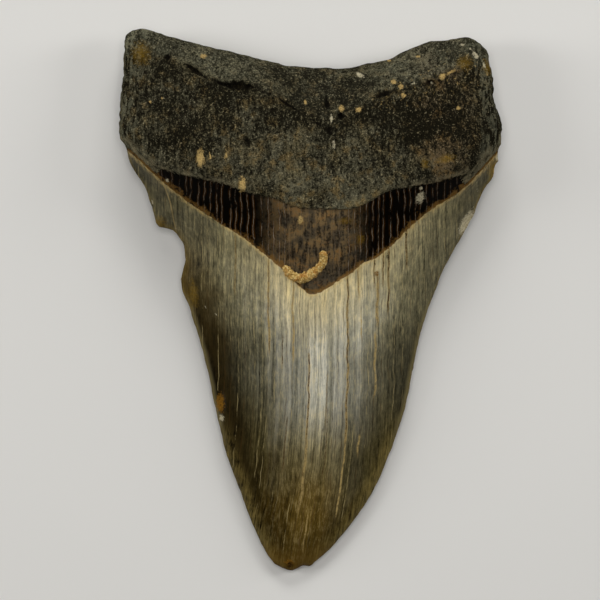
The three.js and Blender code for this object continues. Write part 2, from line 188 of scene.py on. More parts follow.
@dataclass(frozen=True)
class ToothPlan:
    """Outline and anatomical lines of the tooth, in millimetres, the same as its solid's."""

    left_side: Points = (
        (60.6, -39.9), (59.6, -41.3), (57.8, -41.7), (54.0, -42.0), (48.4, -42.4),
        (41.6, -43.0), (38.3, -43.1), (36.0, -42.6), (34.2, -41.5), (32.6, -41.2),
        (30.4, -40.4), (27.5, -38.6), (24.8, -37.0), (22.5, -36.3), (19.6, -35.4),
        (17.3, -34.8), (16.4, -34.0), (15.9, -31.4), (14.4, -29.8), (12.2, -28.5),
        (9.0, -28.2), (6.8, -28.6), (4.5, -29.1), (1.8, -28.7), (-1.4, -27.3),
        (-6.3, -25.8), (-12.2, -24.0), (-19.4, -22.4), (-24.8, -21.3), (-28.8, -20.4),
        (-35.6, -18.6), (-42.8, -15.9), (-50.0, -13.2), (-55.4, -10.7), (-57.6, -9.6),
        (-59.6, -8.0),
    )
    right_side: Points = (
        (57.6, 38.6), (56.0, 39.9), (53.6, 40.6), (50.0, 41.3), (45.0, 41.7),
        (41.9, 42.6), (38.3, 43.1), (35.3, 43.1), (33.8, 42.6), (32.4, 42.4),
        (31.3, 42.6), (29.9, 41.7), (28.6, 41.7), (26.8, 40.8), (25.4, 39.7),
        (21.4, 37.9), (19.1, 37.0), (15.5, 35.0), (11.0, 32.5), (7.2, 30.5),
        (2.3, 28.5), (-3.2, 26.4), (-9.5, 24.6), (-16.7, 23.1), (-24.8, 21.5),
        (-30.2, 19.7), (-35.6, 17.7), (-41.0, 15.4), (-46.4, 12.3), (-51.5, 8.7),
        (-55.4, 5.3), (-57.4, 3.3), (-59.2, 1.2),
    )
    whole_left: Points = (
        (61, -43.4), (40, -43.5), (34, -42.6), (28, -40.2), (20, -36.6), (12, -33.0),
        (5, -30.4), (-1.4, -27.5), (-12.2, -24.1), (-24.8, -21.4), (-35.6, -18.7),
        (-50, -13.3), (-55.4, -10.9), (-59.6, -8.4), (-62, -6.5),
    )
    whole_right: Points = (
        (61, 43.0), (40, 43.5), (34, 43.2), (28, 41.7), (20, 38.1), (11, 32.7),
        (2.3, 28.6), (-9.5, 24.7), (-24.8, 21.6), (-35.6, 17.8), (-46.4, 12.4),
        (-55.4, 5.5), (-59.2, 1.6), (-62, -1.5),
    )
    root_end: Points = (
        (-39.9, 60.6), (-37.9, 61.0), (-35.7, 60.5), (-31.2, 59.2), (-24.4, 57.4),
        (-17.7, 55.8), (-10.9, 54.0), (-4.2, 52.7), (2.6, 52.2), (7.8, 52.0),
        (11.6, 52.8), (16.8, 53.8), (20.6, 55.6), (23.5, 56.9), (27.3, 58.1),
        (31.4, 58.5), (35.0, 59.0), (36.8, 58.7), (38.6, 57.6),
    )
    crease: Points = (
        (-42.0, 54.6), (-36.1, 53.8), (-32.1, 54.0), (-28.2, 52.7), (-23.7, 50.0),
        (-19.2, 48.1), (-12.5, 47.5), (-8.0, 45.7), (-1.9, 41.8), (3.3, 40.4),
        (6.9, 40.7), (11.1, 43.2), (15.2, 45.5), (18.3, 46.8), (23.5, 47.7),
        (27.3, 48.8), (31.4, 50.9), (35.9, 51.8), (41.2, 51.2),
    )
    root_foot: Points = (
        (-42.7, 36.2), (-40.5, 34.9), (-38.4, 33.3), (-36.6, 31.5), (-34.3, 30.0),
        (-30.5, 28.5), (-22.6, 26.7), (-18.6, 25.8), (-14.5, 24.1), (-8.2, 22.7),
        (-2.4, 20.7), (3.3, 20.3), (7.8, 20.3), (11.1, 20.9), (14.1, 22.4),
        (17.4, 24.3), (22.4, 25.2), (29.1, 26.6), (34.1, 28.0), (37.7, 30.6),
        (40.4, 33.2), (43.1, 36.0),
    )
    chevron: Points = (
        (-41.3, 33.8), (-38.4, 31.3), (-34.3, 27.5), (-30.7, 24.5), (-27.3, 21.8),
        (-23.1, 19.1), (-19.5, 16.7), (-15.9, 14.6), (-12.7, 12.2), (-9.6, 9.7),
        (-6.6, 7.2), (-4.2, 4.7), (-1.9, 2.7), (0.1, 1.2), (2.1, 1.6), (5.7, 3.8),
        (10.0, 6.5), (12.0, 8.3), (14.5, 9.2), (17.0, 11.0), (19.2, 12.8),
        (21.3, 15.1), (23.7, 17.3), (27.8, 20.6), (32.1, 23.2), (35.2, 25.5),
        (38.1, 28.4), (40.6, 31.1), (42.4, 33.1),
    )
    tip: Points = (
        (-8.0, -59.6), (-6.0, -60.6), (-4.2, -61.1), (-2.6, -60.5), (-1.5, -60.0),
        (-0.1, -60.1), (1.2, -59.2),
    )
    lip_side_enamel: Points = (
        (-41.3, 33.8), (-30, 31.2), (-18, 28.2), (0, 26.0), (18, 27.6), (30, 30.6), (42.4, 33.1),
    )
    lip_side_crease: Points = ((-42.0, 54.6), (-20, 49.5), (0, 46.0), (20, 48.5), (41.2, 51.2))
    lip_side_foot: Points = (
        (-42.7, 36.2), (-30, 33.8), (-18, 31.0), (0, 29.0), (18, 30.4), (30, 33.2), (43.1, 36.0),
    )
    axis: Points = (
        (61, 0.0), (-20, 0.0), (-28, -0.4), (-35, -0.9), (-41, -1.6), (-47, -2.5), (-61, -4.6),
    )
    break_fade: float = 6.0
    flake_edge: Points = ((29.3, -34.3), (24.8, -32.5), (21.4, -31.4), (17.6, -30.7), (15.6, -30.2))

    def x_at(self, share: Array, y: Array) -> Array:
        """The x at a share of the way across. Inside, it follows the unbroken outline instead of the breaks.

        Args:
            share: 0 at the left edge, 1 at the right.
            y: how far up the plan.

        Returns:
            The places across the plan.
        """
        whole_left, whole_right = SmoothLine(self.whole_left)(y), SmoothLine(self.whole_right)(y)
        left_break = (SmoothLine(self.left_side)(y) - whole_left) * (1 - share) ** self.break_fade
        right_break = (SmoothLine(self.right_side)(y) - whole_right) * share**self.break_fade
        return mix(whole_left, whole_right, share) + left_break + right_break


# Small forms and marks on the tooth


class Mark(Enum):
    """What colour a mark on the tooth has, and the mesh attribute that holds its shape."""

    TAN = "mark_tan"
    PALE = "mark_pale"
    RUST = "mark_rust"
    BROWN = "mark_brown"
    OLIVE = "mark_olive"


@dataclass(frozen=True)
class Patch:
    """A mark of elliptical outline, in millimetres, turned by an angle in degrees and raised a little."""

    kind: Mark
    x: float
    y: float
    half_x: float
    half_y: float
    turn: float = 0.0
    rise: float = 0.0

    def inside(self, x: Array, y: Array) -> Array:
        """How far inside the mark a place is: 1 in its middle, 0 on its outline, less outside."""
        angle = np.radians(self.turn)
        dx, dy = x - self.x, y - self.y
        along = dx * np.cos(angle) + dy * np.sin(angle)
        across = dy * np.cos(angle) - dx * np.sin(angle)
        return 1 - np.hypot(along / self.half_x, across / self.half_y)


@dataclass(frozen=True)
class Crevice:
    """A narrow crevice, groove or pit of the root, in millimetres."""

    start: Point
    end: Point
    half_width: float
    depth: float

    def drop(self, x: Array, y: Array) -> Array:
        """How far the surface drops: a ragged bell across, whose width and depth taper to both ends."""
        distance, share = line_distance(x, y, self.start, self.end)
        ragged = distance + 0.45 * self.half_width * grain(x / 0.9, y / 0.7, 41, 2)
        taper = 0.3 + 0.7 * np.sin(np.pi * share)
        return self.depth * np.sqrt(taper) * bump(ragged, self.half_width * taper)


def patches(kind: Mark, *rows: tuple[float, ...]) -> tuple[Patch, ...]:
    """Marks of one kind, from rows of x, y, half_x, half_y and, where they have them, turn and rise."""
    return tuple(Patch(kind, *row) for row in rows)


PATCHES: tuple[Patch, ...] = (
    *patches(
        Mark.TAN,
        (-24.6, 31.7, 1.1, 2.6, 0, 0.2), (-22.4, 32.0, 0.35, 1.3, 0, 0.1),
        (-18.8, 32.2, 0.4, 1.1, 0, 0.1), (-15.2, 25.7, 1.0, 2.0, 0, 0.25),
        (7.1, 42.8, 0.85, 0.95, 0, 0.2), (10.9, 42.5, 0.8, 0.75, 0, 0.2),
        (-1.0, 44.3, 0.55, 0.7, 0, 0.1), (33.4, 43.0, 0.6, 0.6, 0, 0.1), (29.8, 50.0, 0.9, 0.9, 0, 0.2),
        (31.8, 51.1, 1.8, 0.4, 30, 0.1), (18.8, 48.8, 0.8, 0.7, 0, 0.15),
        (20.4, 47.7, 0.7, 0.8, 0, 0.15), (21.0, 45.7, 0.8, 0.7, 0, 0.15), (17.9, 53.8, 0.6, 0.45),
        (24.4, 54.7, 0.65, 0.4), (-24.0, 54.7, 1.0, 0.6, 0, 0.1), (-2.1, 17.8, 0.7, 1.2, 0, 0.1),
        (-33.2, 45.2, 0.4, 0.4), (-35.9, 44.3, 0.4, 0.4), (41.8, 28.8, 0.5, 1.5),
    ),
    *patches(
        Mark.PALE,
        (37.4, 54.9, 0.6, 1.2, 35, 0.1), (36.2, 56.4, 0.4, 0.4, 0, 0.1), (23.3, 48.5, 0.8, 0.3, 15),
        (27.4, 48.7, 0.35, 0.5), (11.3, 50.5, 1.2, 0.6, -30, 0.1), (39.3, 52.6, 0.35, 0.8, 20),
        (34.4, 57.4, 0.6, 0.35), (4.8, 40.5, 0.4, 1.4), (5.3, 34.7, 0.4, 1.3),
        (24.8, 22.9, 1.15, 1.6, -30, 0.45), (24.9, 25.0, 0.5, 0.5, 0, 0.2), (-32.1, 26.8, 0.5, 0.5),
        (-21.3, -3.4, 0.4, 0.5), (-23.7, -1.6, 0.3, 0.3), (-20.0, -26.6, 0.75, 1.0),
        (35.4, 17.5, 1.2, 3.9, -28), (42.3, 32.0, 0.35, 0.9), (37.8, 25.3, 0.2, 1.4, 10),
        (-35.6, 22.0, 0.25, 0.8, 15),
    ),
    *patches(
        Mark.RUST,
        (-20.3, -23.2, 1.2, 2.6), (-4.6, -59.4, 1.3, 0.9), (15.0, 5.9, 0.6, 0.7),
    ),
    *patches(
        Mark.BROWN,
        # The marks on the root lie along its crevices and pits: painted shade in them.
        (-4.5, -59.7, 1.1, 0.8), (-14.3, 35.3, 1.2, 1.8), (4.4, 37.8, 0.9, 1.2), (-32.0, 54.4, 1.1, 0.8),
        (16.6, 46.1, 1.7, 0.6, 20), (26.9, 48.8, 0.6, 0.5), (-26.3, 51.7, 2.6, 0.4, -33),
        (-10.4, 46.6, 2.2, 0.35, -22), (-4.9, 43.6, 4.4, 0.38, -33), (1.6, 39.5, 2.6, 0.3, -31),
        (17.5, 9.8, 0.4, 1.5), (21.7, 14.7, 0.35, 1.2), (14.6, 8.4, 0.3, 0.9),
    ),
    *patches(
        Mark.OLIVE,
        (-38.1, 55.4, 3.0, 3.6), (34.8, 53.3, 2.6, 2.2), (40.0, 52.2, 1.4, 2.6), (7.8, 17.6, 2.4, 1.0),
        (11.4, 13.5, 1.2, 1.6), (41.3, 29.6, 1.8, 3.2), (-26.3, 1.5, 1.5, 4.2, 8),
        (-33.8, 17.5, 1.9, 1.8), (25.7, 30.5, 1.2, 1.8), (30.5, 31.5, 3.0, 1.4, 20),
    ),
)


@dataclass(frozen=True)
class Shade:
    """A broad soft area of darker or lighter colour, in millimetres: by how much, as a share."""

    x: float
    y: float
    reach_x: float
    reach_y: float
    change: float

    def strength(self, x: Array, y: Array) -> Array:
        """How much darker or lighter a place is for it."""
        return self.change * bump(x - self.x, self.reach_x) * bump(y - self.y, self.reach_y)


SHADES: tuple[Shade, ...] = tuple(Shade(*row) for row in (
    (0.0, 45.5, 15.0, 5.5, -0.16), (28.0, 38.5, 13.0, 4.5, -0.28), (-28.5, 36.5, 5.0, 4.5, -0.22),
    (-19.0, 36.5, 5.0, 3.5, 0.16), (27.5, 31.0, 5.0, 2.2, 0.26), (40.0, 31.5, 4.0, 4.0, -0.3),
    (2.0, 36.0, 7.0, 4.0, -0.06), (-9.0, 17.5, 4.5, 5.0, -0.3), (7.0, 17.0, 4.5, 3.5, 0.14),
    (-31.5, 24.0, 4.5, 4.0, -0.16), (36.5, 24.0, 4.0, 5.0, -0.36), (31.0, 16.5, 5.0, 6.0, -0.14),
    (-1.0, -7.0, 8.0, 5.0, -0.16), (-12.0, -8.5, 5.0, 6.0, 0.08), (-12.0, -27.0, 4.0, 6.0, -0.12),
    (3.0, -27.0, 3.5, 6.0, -0.1), (13.0, -28.0, 5.0, 9.0, -0.2), (10.5, -38.5, 3.5, 6.5, -0.3),
    (6.0, -49.5, 2.0, 4.0, -0.2), (-16.0, -40.0, 3.0, 5.0, 0.06), (16.5, 35.0, 4.0, 5.0, -0.16),
    (39.0, 53.0, 3.5, 3.5, -0.25), (-38.0, 57.0, 3.0, 3.0, -0.25), (-38.5, 49.5, 3.0, 3.0, 0.14),
    (19.0, 46.5, 3.0, 2.5, 0.12), (1.5, -3.0, 4.0, 7.0, -0.12), (-15.0, 11.5, 5.0, 3.0, -0.12),
    (-1.0, -57.5, 3.0, 3.5, -0.3), (-10.5, 36.5, 3.5, 3.5, -0.1), (40.5, 38.0, 2.5, 8.0, -0.2),
    (-4.0, 9.5, 4.0, 2.5, -0.25), (9.0, 7.5, 3.0, 2.5, -0.25), (13.8, -41.5, 2.2, 6.5, 0.3),
    (18.0, -29.0, 1.8, 6.0, 0.2), (14.5, -29.0, 2.0, 6.0, -0.1),
))

CHIPS: tuple[tuple[Patch, float], ...] = (
    (Patch(Mark.RUST, -20.4, -23.2, 1.4, 2.8), 0.7),
    (Patch(Mark.PALE, -20.2, -26.8, 0.8, 1.3), 0.5),
    (Patch(Mark.RUST, 41.3, 29.6, 1.4, 2.9), 0.8),
    (Patch(Mark.BROWN, 38.6, 26.0, 1.4, 2.3, -25), 0.7),
    (Patch(Mark.PALE, 35.0, 17.4, 1.9, 3.6, -20), 0.9),
)

CREVICES: tuple[Crevice, ...] = tuple(Crevice(*row) for row in (
    ((-28.6, 53.0), (-23.4, 49.9), 0.55, 1.5), ((-24.2, 50.1), (-19.2, 48.4), 0.28, 0.9),
    ((-20.6, 48.4), (-11.8, 47.5), 0.72, 2.4), ((-12.6, 47.4), (-7.6, 45.6), 0.26, 0.8),
    ((-8.4, 46.0), (-1.6, 41.6), 0.4, 1.1), ((14.6, 45.2), (19.0, 47.0), 0.6, 1.4),
    ((18.6, 46.9), (24.6, 48.4), 0.28, 0.8), ((25.6, 48.2), (28.2, 49.2), 0.5, 1.2),
    ((3.6, 46.0), (4.2, 42.2), 0.5, 1.2), ((-14.6, 36.6), (-13.8, 33.8), 0.9, 0.9),
    ((4.0, 39.0), (4.9, 36.6), 0.7, 0.8), ((-32.8, 54.8), (-31.2, 54.0), 0.7, 1.1),
    ((6.4, 41.2), (7.3, 41.0), 0.95, 2.9),
))


@dataclass(frozen=True)
class ToothRelief:
    """Heights of the two skins of the tooth over its plan, in millimetres."""

    plan: ToothPlan = field(default_factory=ToothPlan)
    root_thickness: float = 26.5
    root_edge_height: float = 9.0
    root_rim: float = 0.9
    blade_rim: float = 0.22
    enamel_step: float = 0.4
    foot_step: float = 1.1
    blade_bevel: float = 1.3
    root_bevel: float = 5.0
    under_end_rounding: float = 8.0
    tip_rounding: float = 3.5
    root_hollow: float = 0.7
    rest_lobe: tuple[float, float, float, float] = (26.0, 41.0, 9.0, 1.45)
    flake_depth: float = 0.45
    blade_top: Point = (1.85, 1.0)
    blade_under: Point = (2.3, 0.8)
    root_top: Point = (2.9, 0.52)
    root_under: Point = (5.5, 0.5)
    end_roundness: float = 0.55
    rim_slack: float = 0.15
    hollow_reach: float = 13.0
    under_lift: float = 0.35
    under_swell: float = 0.35
    swell_shift: Point = (11.0, -7.0)
    grain_shift: Point = (17.0, -9.0)
    under_grain: float = 0.8
    enamel_ridge: float = 0.3

    def top_profile(self, y: Array) -> Array:
        """Height of the upper skin along the middle, as shares of the root's thickness."""
        shares = SmoothLine((
            (61, 0.62), (52, 0.72), (46, 0.8), (41, 0.87), (34, 0.965), (27, 1.0), (21, 0.975),
            (14, 0.88), (8, 0.79), (1.2, 0.7), (-10, 0.595), (-25, 0.475), (-40, 0.355),
            (-50, 0.268), (-57, 0.19), (-61, 0.135),
        ))
        return shares(y) * self.root_thickness

    def edge_profile(self, y: Array) -> Array:
        """Height of the rim that parts the two skins."""
        edge = self.root_edge_height
        return SmoothLine((
            (61, edge), (38, edge), (32, 7.6), (24, 6.2), (12, 5.2), (0, 4.4), (-25, 3.3),
            (-45, 2.6), (-61, 2.2),
        ))(y)

    def under_profile(self, y: Array) -> Array:
        """Height of the lower skin along the middle. Below nought it is worn flat, where the tooth rests."""
        return SmoothLine((
            (61, 0.9), (50, 0.3), (40, -0.1), (30, 0.2), (24, 0.35), (10, 0.6), (-8, 0.35),
            (-22, -0.16), (-38, -0.16), (-50, 0.7), (-61, 1.5),
        ))(y)

    def across(self, x: Array, y: Array) -> Array:
        """How far across the unbroken tooth a place is: -1 at the left edge, 1 at the right."""
        low = SmoothLine(self.plan.whole_left)(y)
        high = SmoothLine(self.plan.whole_right)(y)
        return np.clip((x - (low + high) / 2) / ((high - low) / 2), -1, 1)

    def swell(self, x: Array, y: Array) -> Array:
        """Broad swells of worn bone: three sine waves, at most 0.6 mm together."""
        return (
            0.28 * np.sin(x / 5.1 + 0.7) * np.sin(y / 4.3 + 0.4)
            + 0.2 * np.sin(x / 2.9 - y / 6.2 + 2.1)
            + 0.12 * np.sin(x / 1.9 + y / 2.3)
        )

    def band_drop(self, x: Array, y: Array) -> Array:
        """How far the dark band lies under the root's foot and the enamel's edge."""
        foot = SmoothLine(self.plan.root_foot)(x)
        enamel = SmoothLine(self.plan.chevron)(x)
        down = np.clip((foot - y) / (foot - enamel), 0, 1)
        sides = ease(9, 17, np.abs(x - 0.5))
        step = self.foot_step * (0.2 + 0.8 * sides) * (1 - ease(36, 41, np.abs(x)))
        return mix(step, self.enamel_step, down) * ease(0, 0.5, foot - y) * ease(0, 0.4, y - enamel)

    def rim_half(self, x: Array, y: Array) -> Array:
        """Half the height of the rim: wide on the root, narrow on the blade."""
        on_root = ease(-3, 2, y - SmoothLine(self.plan.root_foot)(x))
        return mix(self.blade_rim, self.root_rim, on_root)

    def side_distance(self, x: Array, y: Array) -> Array:
        """Distance to the nearer side of the outline: the least over its straight stretches."""
        nearest = np.full_like(x, np.inf)
        for side in (self.plan.left_side, self.plan.right_side):
            points = [(px, py) for py, px in side]
            for start, end in zip(points, points[1:]):
                nearest = np.minimum(nearest, line_distance(x, y, start, end)[0])
        return nearest

    def tip_share(self, x: Array, y: Array) -> Array:
        """How much of the height is left near the worn tip."""
        return 0.3 + 0.7 * quarter_round(y - SmoothLine(self.plan.tip)(x), self.tip_rounding)

    def root_grain(self, x: Array, y: Array) -> Array:
        """Relief of weathered bone: lumps, finer grain, upright furrows, pits and a knobbly right corner."""
        lumps = 0.3 * grain(x / 3.1, y / 3.8, 1, 2)
        fine = 0.2 * grain(x / 0.95, y / 1.3, 2, 2)
        furrows = 0.12 * grain(x / 0.8, y / 7.0, 3)
        pits = 0.4 * ease(0.45, 0.85, grain(x / 1.15, y / 1.25, 4))
        knobs = 0.7 * grain(x / 1.9, y / 1.7, 5, 2) * bump(x - 33, 9) * bump(y - 55, 6)
        return lumps + fine + furrows - pits + knobs

    def enamel_grain(self, x: Array, y: Array) -> Array:
        """Relief of worn enamel: long shallow flutes that follow the blade's axis."""
        along = x - SmoothLine(self.plan.axis)(y)
        return 0.05 * grain(along / 1.7, y / 34, 6) + 0.025 * grain(along / 0.7, y / 21, 7)

    def flake_drop(self, x: Array, y: Array) -> Array:
        """The flake scar on the left shoulder: a shallow scoop that starts at a sharp curved edge."""
        inward = SmoothLine(self.plan.flake_edge)(y) - x
        ends = ease(14.5, 16.5, y) * (1 - ease(28.5, 30.5, y))
        return self.flake_depth * ease(0, 0.45, inward) * (1 - ease(1.8, 5.5, inward)) * ends

    def broken(self, x: Array, y: Array, distance: Array) -> Array:
        """Where an edge is broken: 1 on the outline, falling to 0 at the inner end of the break."""
        left = ease(-3.5, 0, y) * (1 - ease(16.8, 18.2, y)) * (x < 0) * 2.0
        right = ease(12, 15, y) * (1 - ease(33, 35, y)) * (x > 0) * 0.9
        reach = np.maximum(left + right, 1e-3)
        return np.clip(1 - distance / reach, 0, 1)

    def small_forms(self, x: Array, y: Array, distance: Array) -> Array:
        """Grain, crevices, chips, the flake scar and raised marks together, fading out towards the rim."""
        foot = SmoothLine(self.plan.root_foot)(x)
        enamel = SmoothLine(self.plan.chevron)(x)
        on_root = ease(-0.1, 0.5, y - foot)
        on_enamel = ease(0, 0.5, enamel - y)
        inner = ease(0, 1.2, distance) * ease(0, 1.5, SmoothLine(self.plan.root_end)(x) - y)
        relief = on_root * self.root_grain(x, y) + on_enamel * self.enamel_grain(x, y)
        relief = relief + 0.25 * self.broken(x, y, distance) * grain(x / 0.8, y / 0.9, 8, 2)
        for patch in PATCHES:
            relief = relief + patch.rise * np.sqrt(np.clip(patch.inside(x, y), 0, 1))
        for crevice in CREVICES:
            relief = relief - crevice.drop(x, y)
        relief = relief - self.flake_drop(x, y)
        chips = sum(depth * np.sqrt(np.clip(patch.inside(x, y), 0, 1)) for patch, depth in CHIPS)
        return relief * inner - chips * ease(0, 0.5, distance)

    def top(self, x: Array, y: Array, distance: Array) -> Array:
        """Height of the upper skin: rim, plus the dome's share of the rise to the middle, plus small forms.

        Args:
            x, y: places in the plan.
            distance: how far each place is from the sides.

        Returns:
            The heights above the surface that the tooth lies on.
        """
        edge = self.edge_profile(y) + self.rim_half(x, y)
        on_root = ease(-6, 1.5, y - SmoothLine(self.plan.root_foot)(x))
        out = np.abs(self.across(x, y))
        section = mix(dome(out, self.blade_top), dome(out, self.root_top), on_root)
        root_end = SmoothLine(self.plan.root_end)(x)
        face = root_end - SmoothLine(self.plan.crease)(x)
        slope = np.clip((root_end - y) / face, 0, 1)
        end_share = mix(slope, quarter_round(root_end - y, face), self.end_roundness)
        share = section * end_share * self.tip_share(x, y)
        height = edge + (self.top_profile(y) - edge) * share
        height = height + self.swell(x, y) * on_root * np.minimum(1, 2.5 * share)
        height = height - self.band_drop(x, y)
        height = np.minimum(height, edge + mix(self.blade_bevel, self.root_bevel, on_root) * distance)
        return np.maximum(height + self.small_forms(x, y, distance), edge - self.rim_slack)

    def under(self, x: Array, y: Array, distance: Array) -> Array:
        """Height of the lower skin: rim, less the dome's share of the fall to the middle, not under nought.

        Args:
            x, y: places in the plan.
            distance: how far each place is from the sides.

        Returns:
            The heights above the surface that the tooth lies on.
        """
        edge = self.edge_profile(y) - self.rim_half(x, y)
        past_enamel = y - SmoothLine(self.plan.lip_side_enamel)(x)
        on_root = ease(-2, 3, past_enamel)
        out = np.abs(self.across(x, y))
        section = mix(dome(out, self.blade_under), dome(out, self.root_under), on_root)
        root_end = SmoothLine(self.plan.root_end)(x)
        share = section * quarter_round(root_end - y, self.under_end_rounding) * self.tip_share(x, y)
        height = edge - (edge - self.under_profile(y)) * share
        swell = self.under_swell * self.swell(x + self.swell_shift[0], y + self.swell_shift[1])
        hollow = self.root_hollow * bump(x, self.hollow_reach) + swell + self.under_lift
        height = height + on_root * share * hollow
        lobe_x, lobe_y, reach, depth = self.rest_lobe
        height = height - depth * bump(np.abs(x) - lobe_x, reach) * bump(y - lobe_y, reach) * on_root
        inner = ease(0, 1.2, distance) * ease(0, 1.5, root_end - y)
        bone = self.root_grain(x + self.grain_shift[0], y + self.grain_shift[1])
        texture = on_root * bone + (1 - on_root) * self.enamel_grain(x + 9, y)
        height = height - self.under_grain * inner * texture * ease(0.0, 0.5, height)
        ridge = ease(-0.4, 0.1, past_enamel) * (1 - ease(0.1, 2.4, past_enamel))
        height = height + self.enamel_ridge * ridge * inner
        bevel = edge - mix(self.blade_bevel, self.root_bevel, on_root) * distance
        return np.maximum(np.maximum(height, 0), bevel)


# Meshes


@dataclass
class GridMesh:
    """Vertices and four-sided faces of one piece, with its named values per vertex."""

    points: Array
    quads: Array
    values: dict[str, Array] = field(default_factory=dict)
    grain_uv: Array | None = None

    def make(self, name: str) -> bpy.types.Object:
        """Puts the arrays into a smooth-shaded Blender mesh at the origin.

        Args:
            name: the piece's name.

        Returns:
            The new object, linked to the scene.
        """
        mesh = bpy.data.meshes.new(name)
        mesh.from_pydata(self.points * MM, [], self.quads)
        for attribute_name, values in self.values.items():
            attribute = mesh.attributes.new(attribute_name, "FLOAT", "POINT")
            attribute.data.foreach_set("value", values.astype(np.float32))
        if self.grain_uv is not None:
            layer = mesh.uv_layers.new(name="grain")
            corners = np.empty(len(mesh.loops), dtype=np.int32)
            mesh.loops.foreach_get("vertex_index", corners)
            layer.data.foreach_set("uv", self.grain_uv[corners].astype(np.float32).ravel())
        mesh.polygons.foreach_set("use_smooth", np.ones(len(mesh.polygons), dtype=bool))
        mesh.update()
        obj = bpy.data.objects.new(name, mesh)
        bpy.context.scene.collection.objects.link(obj)
        return obj


def grid_quads(rows: int, columns: int, first: int = 0) -> Array:
    """Faces of a grid of rows by columns points, in the order down, right, up, left.

    Args:
        rows, columns: how many points each way.
        first: the number of the grid's first point.

    Returns:
        The faces, four point numbers each.
    """
    corner = first + np.arange(rows - 1)[:, None] * columns + np.arange(columns - 1)[None, :]
    return np.stack([corner, corner + columns, corner + columns + 1, corner + 1], axis=-1).reshape(-1, 4)


